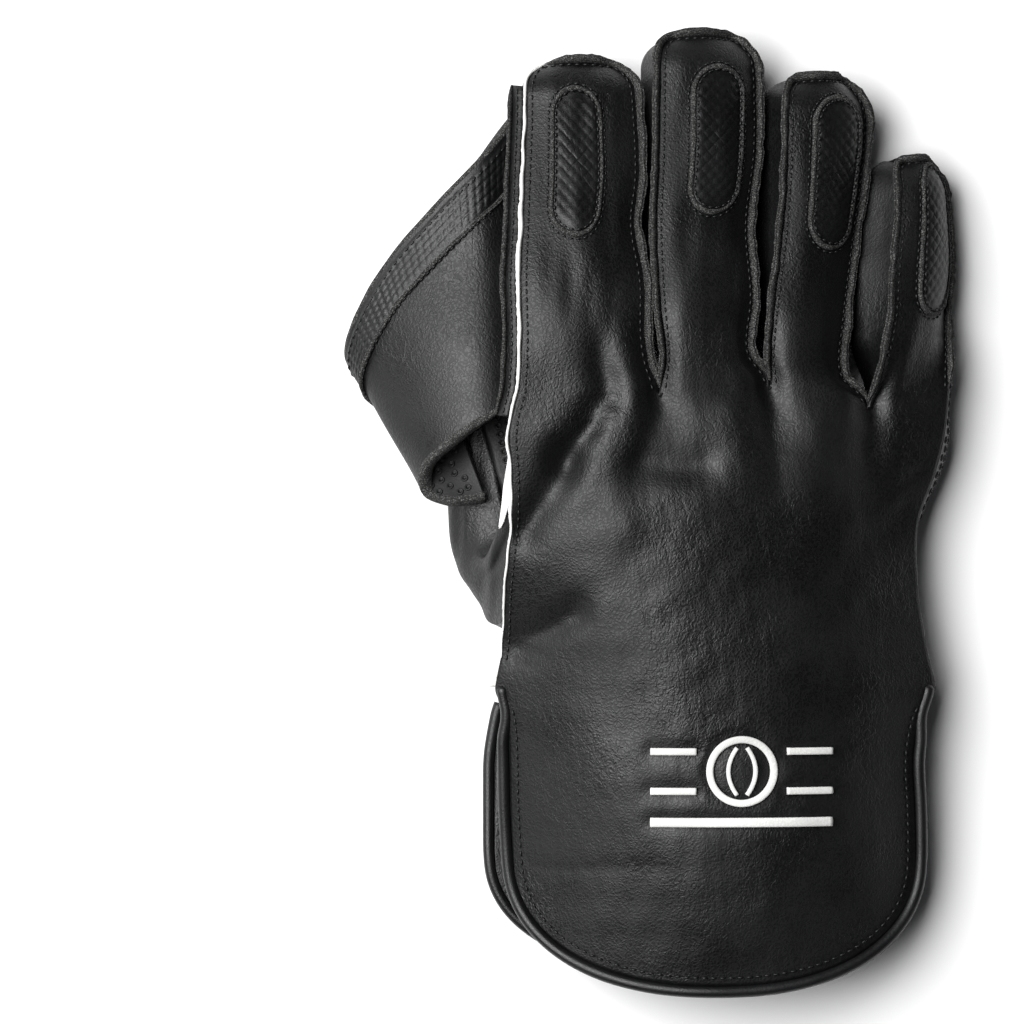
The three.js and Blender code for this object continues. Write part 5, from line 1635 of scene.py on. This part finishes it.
across, share = np.meshgrid(np.linspace(0, 1, 97), np.linspace(0, 1, 61))
flap_grid = flap_point(across, share)
flap = make_object("palm_flap", *walled(*weld([flap_grid]), FLAP_SHEET), black_leather)
dress(flap, "black_leather", "cuff_flap")
flap_hem = np.concatenate([flap_grid[-8:0:-1, 0], flap_grid[0], flap_grid[1:-8, -1]])
flap_hem = smoothed(resample(flap_hem, 1.2), 6)
flap_out = smoothed(outward(flap_hem), 8)
flap_path = flap_hem + flap_out * (PIPE - 0.1) + np.array([0, 0, -1.9])
flap_pipe = make_object("flap_hem_piping", *swept(tube(flap_path, PIPE * 0.97)), piping_leather)
dress(flap_pipe, "piping", "flap_piping")


def pillow(start, end, half, seed):
    """A rib: its oval section is pressed flat below, narrows to both ends and ripples a little."""
    along = unit(end - start)
    side = np.array([along[1], -along[0], 0])
    share = np.linspace(0, 1, 60)
    length = np.linalg.norm(end - start)
    near = np.minimum(share, 1 - share) * length
    full = np.minimum(1, near / 5)
    full = np.sqrt(full * (2 - full)) * 0.999 + 0.001
    turn = np.linspace(0, 2 * np.pi, 28, endpoint=False)
    u = np.sign(np.cos(turn)) * np.abs(np.cos(turn)) ** 0.75
    v = np.sign(np.sin(turn)) * np.abs(np.sin(turn)) ** 0.85
    middle = start + along * (share * length)[:, None]
    wide = half * (0.72 + 0.28 * full)
    rise = PADDING * full
    z = PADDING + 0.35 - rise[:, None] * (0.55 - 0.55 * v)
    z = z + 0.22 * ripple(share[:, None] * length, u[None] * half, seed, 8) * (v < 0)
    body = middle[:, None] + side * (u * wide[:, None])[..., None]
    body[..., 2] = np.clip(z, 0.06, FLAP_SEAT - 0.05)
    return body


band_y = FLAP_TOP - 22
reach = FLAP_WIDTH * 0.44
band = pillow(np.array([FLAP_CENTRE - reach, band_y, 0]), np.array([FLAP_CENTRE + reach, band_y, 0]), BAND_WIDTH / 2, 131)
band_piece = make_object("quilted_band", *swept(band), black_leather)
dress(band_piece, "black_leather", "cuff_band")
rib_top = band_y - BAND_WIDTH / 2 - 3
for i in range(RIBS):
    x = FLAP_CENTRE + (i - (RIBS - 1) / 2) * RIB_WIDTH
    long = RIB_LENGTH * (0.72 if i in (0, RIBS - 1) else 1)
    start, end = np.array([x, rib_top, 0]), np.array([x, rib_top - long, 0])
    rib = make_object(f"quilted_rib_{i + 1}", *swept(pillow(start, end, RIB_WIDTH / 2 - 0.6, 140 + i)), black_leather)
    dress(rib, "black_leather", f"cuff_channel_{i + 1}")


def under_flap(places):
    """Points and normals of the flap's lower face at level places."""
    at = np.concatenate([places, np.full((len(places), 1), FLAP_SEAT)], 1)
    return at, np.tile([0, 0, -1.0], (len(places), 1))


for i in range(1, RIBS):
    x = FLAP_CENTRE + (i - RIBS / 2) * RIB_WIDTH
    at, out = under_flap(np.array([(x, rib_top), (x, rib_top - RIB_LENGTH)]))
    stitch_lines.append((at, out, 2.8))
for side in (-1, 1):
    y = band_y + side * (BAND_WIDTH / 2 + 1.2)
    at, out = under_flap(np.array([(FLAP_CENTRE - reach, y), (FLAP_CENTRE + reach, y)]))
    stitch_lines.append((at, out, 2.8))
at, out = under_flap((flap_hem - flap_out * 2.6)[6:-6, :2])
stitch_lines.append((at, out, 2.8))

# %% [markdown]
# ## A plain raised motif
# The back of the cuff carries a white raised motif: a ball with its seam, between short bars
# and over a long one. Each stroke is a rounded strip laid on the leather.

# %% Motif
STROKE_SECTION = np.array([(-0.5, -0.4), (-0.5, 0.7), (-0.42, 0.93), (-0.25, 1.05), (0, 1.08),
                           (0.25, 1.05), (0.42, 0.93), (0.5, 0.7), (0.5, -0.4)])


def stroke_body(places, width, closed_path=False):
    """The rounded section carried along a line of level places on the back."""
    if closed_path:
        run = unit(np.roll(places, -1, 0) - np.roll(places, 1, 0))
    else:
        run = unit(np.gradient(places, axis=0))
    aside = np.stack([run[:, 1], -run[:, 0]], 1)
    across, up = STROKE_SECTION.T
    at, out = back_surface(places[:, None] + aside[:, None] * (across * width)[:, None], 0.4)
    return swept(at + out * (0.35 + up)[:, None], closed_path)


ball = MOTIF_HEIGHT / 2
turn = np.linspace(0, 2 * np.pi, 97)[:-1]
circle = np.stack([MOTIF[0] + np.cos(turn) * (ball - STROKE / 2), MOTIF[1] + np.sin(turn) * (ball - STROKE / 2)], 1)
dress(make_object("motif_ball", *stroke_body(circle, STROKE, True), white_leather), "white_leather", "emblem_ring")
height = np.linspace(-1, 1, 33)
bow = STROKE * (0.7 + 1.2 * (1 - height**2))
for k, side in enumerate((-1, 1)):
    arc = np.stack([MOTIF[0] + side * bow, MOTIF[1] + height * (ball - STROKE - 1) * 0.94], 1)
    piece = make_object(f"motif_seam_{k + 1}", *stroke_body(arc, STROKE * 0.6), white_leather)
    dress(piece, "white_leather", f"emblem_seam_{k + 1}")
    for j, lift in enumerate((-0.28, 0.28)):
        start = MOTIF[0] + side * (ball + 3)
        at = start + side * np.linspace(0, MOTIF_WIDTH / 2 - ball - 3, 24)
        bar = np.stack([at, 0 * at + MOTIF[1] + lift * MOTIF_HEIGHT], 1)
        piece = make_object(f"motif_bar_{2 * k + j + 1}", *stroke_body(bar, STROKE), white_leather)
        dress(piece, "white_leather", f"emblem_bar_{2 * k + j + 1}")
at = MOTIF[0] + MOTIF_WIDTH * np.linspace(-0.5, 0.5, 60)
base = np.stack([at, 0 * at + MOTIF[1] - 0.72 * MOTIF_HEIGHT], 1)
dress(make_object("motif_base", *stroke_body(base, STROKE * 1.3), white_leather), "white_leather", "emblem_base")

# %% [markdown]
# ## Ringed rubber
# The palm's rubber is moulded with small raised rings that grip the ball. One ring is a few
# dozen faces; it is repeated on a hexagonal lattice that is measured along the surface itself.

# %% Rings
PITCH = 3.3
RING_SIDES = 8
CROWDING = 0.8
# radius and height of the ring's profile, from its foot outside to its hollow middle
RING_PROFILE = np.array([(1.27, -0.2), (1.08, 0.42), (0.7, 0.4), (0.58, 0.06)])


def lattice(grid, side, margin, fan=False):
    """Places in rows along the grid, each row half a pitch aside of the one before, with the
    direction out of the surface. side is 1 or -1, as the grid's faces are turned. Where the
    rows fan out, their distance is measured at the wide end."""
    out = side * grid_normals(grid)
    steps = np.linalg.norm(np.diff(grid, axis=0), axis=2)
    down = np.concatenate([[0], np.cumsum(steps.max(1) if fan else steps[:, steps.shape[1] // 2])])
    places, faces = [], []
    for k, at in enumerate(np.arange(margin, down[-1] - margin, PITCH * 0.866)):
        row = np.interp(at, down, np.arange(len(down)))
        low, high = int(row), min(int(row) + 1, len(down) - 1)
        line = mix(grid[low], grid[high], row - low)
        face = mix(out[low], out[high], row - low)
        along = length_along(line)
        count = int(along[-1] / PITCH) + 2
        stops = along[-1] / 2 + PITCH * (np.arange(-count, count + 1) + 0.5 * (k % 2))
        stops = stops[(stops > margin) & (stops < along[-1] - margin)]
        places.append(np.stack([np.interp(stops, along, column) for column in line.T], 1))
        faces.append(np.stack([np.interp(stops, along, column) for column in face.T], 1))
    return spread_out(np.concatenate(places), unit(np.concatenate(faces)))


def spread_out(places, faces):
    """Where rows run together, a ring that would crowd an earlier one is left out."""
    kept = np.zeros(len(places), bool)
    for k, place in enumerate(places):
        away = np.linalg.norm(places[:k][kept[:k]] - place, axis=1)
        kept[k] = len(away) == 0 or away.min() > PITCH * CROWDING
    return places[kept], faces[kept]


def ring_bodies(places, out):
    """The ring's profile turned about each place's own direction, with a floor and a foot."""
    level = unit(np.cross(out, np.array([0.3, 0.9, 0.1])))
    other = np.cross(out, level)
    turn = np.linspace(0, 2 * np.pi, RING_SIDES, endpoint=False)
    radius, height = RING_PROFILE.T
    circle = level[:, None] * np.cos(turn)[:, None] + other[:, None] * np.sin(turn)[:, None]
    walls = (places[:, None, None] + circle[:, None] * radius[:, None, None]
             + out[:, None, None] * height[:, None, None]).reshape(len(places), -1, 3)
    middle = (places + out * RING_PROFILE[-1, 1])[:, None]
    foot = (places + out * RING_PROFILE[0, 1])[:, None]
    body = np.concatenate([walls, middle, foot], 1)
    count, last = body.shape[1], len(radius) - 1
    k = np.arange(RING_SIDES)
    after = (k + 1) % RING_SIDES
    bands = [np.stack([r * RING_SIDES + k, r * RING_SIDES + after, (r + 1) * RING_SIDES + after,
                       (r + 1) * RING_SIDES + k], 1) for r in range(last)]
    inner = last * RING_SIDES
    cap = np.stack([inner + k, inner + after, np.full(RING_SIDES, count - 2), np.full(RING_SIDES, count - 2)], 1)
    sole = np.stack([after, k, np.full(RING_SIDES, count - 1), np.full(RING_SIDES, count - 1)], 1)
    faces = np.concatenate(bands + [cap, sole])
    faces = (faces[None] + (np.arange(len(places)) * count)[:, None, None]).reshape(-1, 4)
    points = body.reshape(-1, 3)
    points[:, 2] = np.maximum(0, points[:, 2])
    return points, faces


side_rows = (little_wall[:, 0, 1] > 30) & (little_wall[:, 0, 1] < 92)
palm_places = [lattice(palm_body, -1, 2.4)] + [lattice(grid, -1, 2.2) for grid in palm_fingers]
for name, parts in (
    ("palm_rings", palm_places),
    ("thumb_rings", [lattice(rubber_part[:76], 1, 2.2)]),
    ("side_rings", [lattice(little_wall[side_rows], 1, 2.0)]),
    ("web_rings", [lattice(inner[1:-1] - web_inner_out[1:-1] * WEB_WALL, -1, 1.6, True)]),
):
    bodies = [ring_bodies(*part) for part in parts]
    piece = make_object(name, *joined(bodies), pimple_rubber)
    dress(piece, "pimple_rubber")

# %% [markdown]
# ## Stitches
# Each seam is held by a row of short stitches of waxed thread. A stitch is a small spindle that
# dips into the leather at both ends; the row is laid at equal steps along the seam's line.

# %% Stitches
STITCH = 0.34
STITCH_LENGTH = 0.72
LEAST_Z = 0.04


def stitch_bodies(line, out, pitch):
    """Spindles along a line: five rings each, thickest and highest in the middle."""
    line, out = resample_pair(line, out, pitch)
    run = unit(np.gradient(line, axis=0))
    out = unit(out)
    side = unit(np.cross(run, out))
    share = np.array([-0.5, -0.4, 0, 0.4, 0.5]) * pitch * STITCH_LENGTH
    size = np.array([0.02, 0.75, 1, 0.75, 0.02]) * STITCH
    lift = np.array([-0.1, 0.12, 0.26, 0.12, -0.1])
    turn = np.linspace(0, 2 * np.pi, 6, endpoint=False)
    middle = line[:, None] + run[:, None] * share[:, None] + out[:, None] * lift[:, None]
    rings = middle[:, :, None] + size[:, None, None] * (
        side[:, None, None] * np.cos(turn)[:, None] + out[:, None, None] * np.sin(turn)[:, None])
    body = rings.reshape(len(line), -1, 3)
    body[..., 2] = np.maximum(body[..., 2], LEAST_Z)
    k, r = np.arange(6), np.arange(4)[:, None]
    after = (k + 1) % 6
    faces = np.stack([r * 6 + k, r * 6 + after, (r + 1) * 6 + after, (r + 1) * 6 + k], -1).reshape(-1, 4)
    faces = np.concatenate([faces, [[5, 4, 3, 0], [3, 2, 1, 0], [24, 25, 26, 27], [24, 27, 28, 29]]])
    faces = (faces[None] + (np.arange(len(line)) * body.shape[1])[:, None, None]).reshape(-1, 4)
    return facing_out(body.reshape(-1, 3), faces)


tape_middle = tape[2:-2, 4]
stitch_lines.append((tape_middle, np.tile(unit(np.array([-0.5, 0, 1.0])), (len(tape_middle), 1)), 2.6))
for finger, name in enumerate(NAMES):
    grid, face = back_fingers[finger], grid_normals(back_fingers[finger])
    inset = 2
    loop = [slice(SEAM_ROWS[name], -3), -1 - inset], [-4, slice(-1 - inset, inset, -1)], [slice(-4, SEAM_ROWS[name], -1), inset]
    pick = lambda array: np.concatenate([array[part[0], part[1]] for part in (loop if finger else loop[:2])])
    line, out = resample_pair(pick(grid), pick(face), 1.0)
    stitch_lines.append((smoothed(line, 4), out, 2.6))
welt_rows = slice(2, None)
line = np.concatenate([back_fingers[0][-4::-1, 2], back_body[-2:8:-1, 2]])
face = np.concatenate([grid_normals(back_fingers[0])[-4::-1, 2], grid_normals(back_body)[-2:8:-1, 2]])
stitch_lines.append((smoothed(line, 3), face, 2.6))
web_at = np.linspace(0, 1, 200)
for share, lift in ((STRIP_SHARE - 0.012, 2.3), (0.955, 2.5)):
    line = web_point(web_at, share + 0 * web_at)
    out = resample_pair(web_point(np.linspace(0, 1, WEB_ALONG + 1), np.full(WEB_ALONG + 1, share)), all_out[:, int(share * 20)], 1.0)
    stitch_lines.append((out[0] + unit(out[1]) * lift, unit(out[1]), 2.8))
wrist_line = wrist_grid[LOW_ROW - 3]
wrist_face = -grid_normals(wrist_grid)[LOW_ROW - 3]
bodies = [stitch_bodies(*entry) for entry in stitch_lines]
thread_piece = make_object("black_stitches", *joined(bodies), thread)
dress(thread_piece, "piping")
pale = [stitch_bodies(wrist_grid[row] + 0.05, -grid_normals(wrist_grid)[row], 2.8) for row in (3, LOW_ROW - 3)]
pale_piece = make_object("white_stitches", *joined(pale), white_leather)
dress(pale_piece, "white_leather")
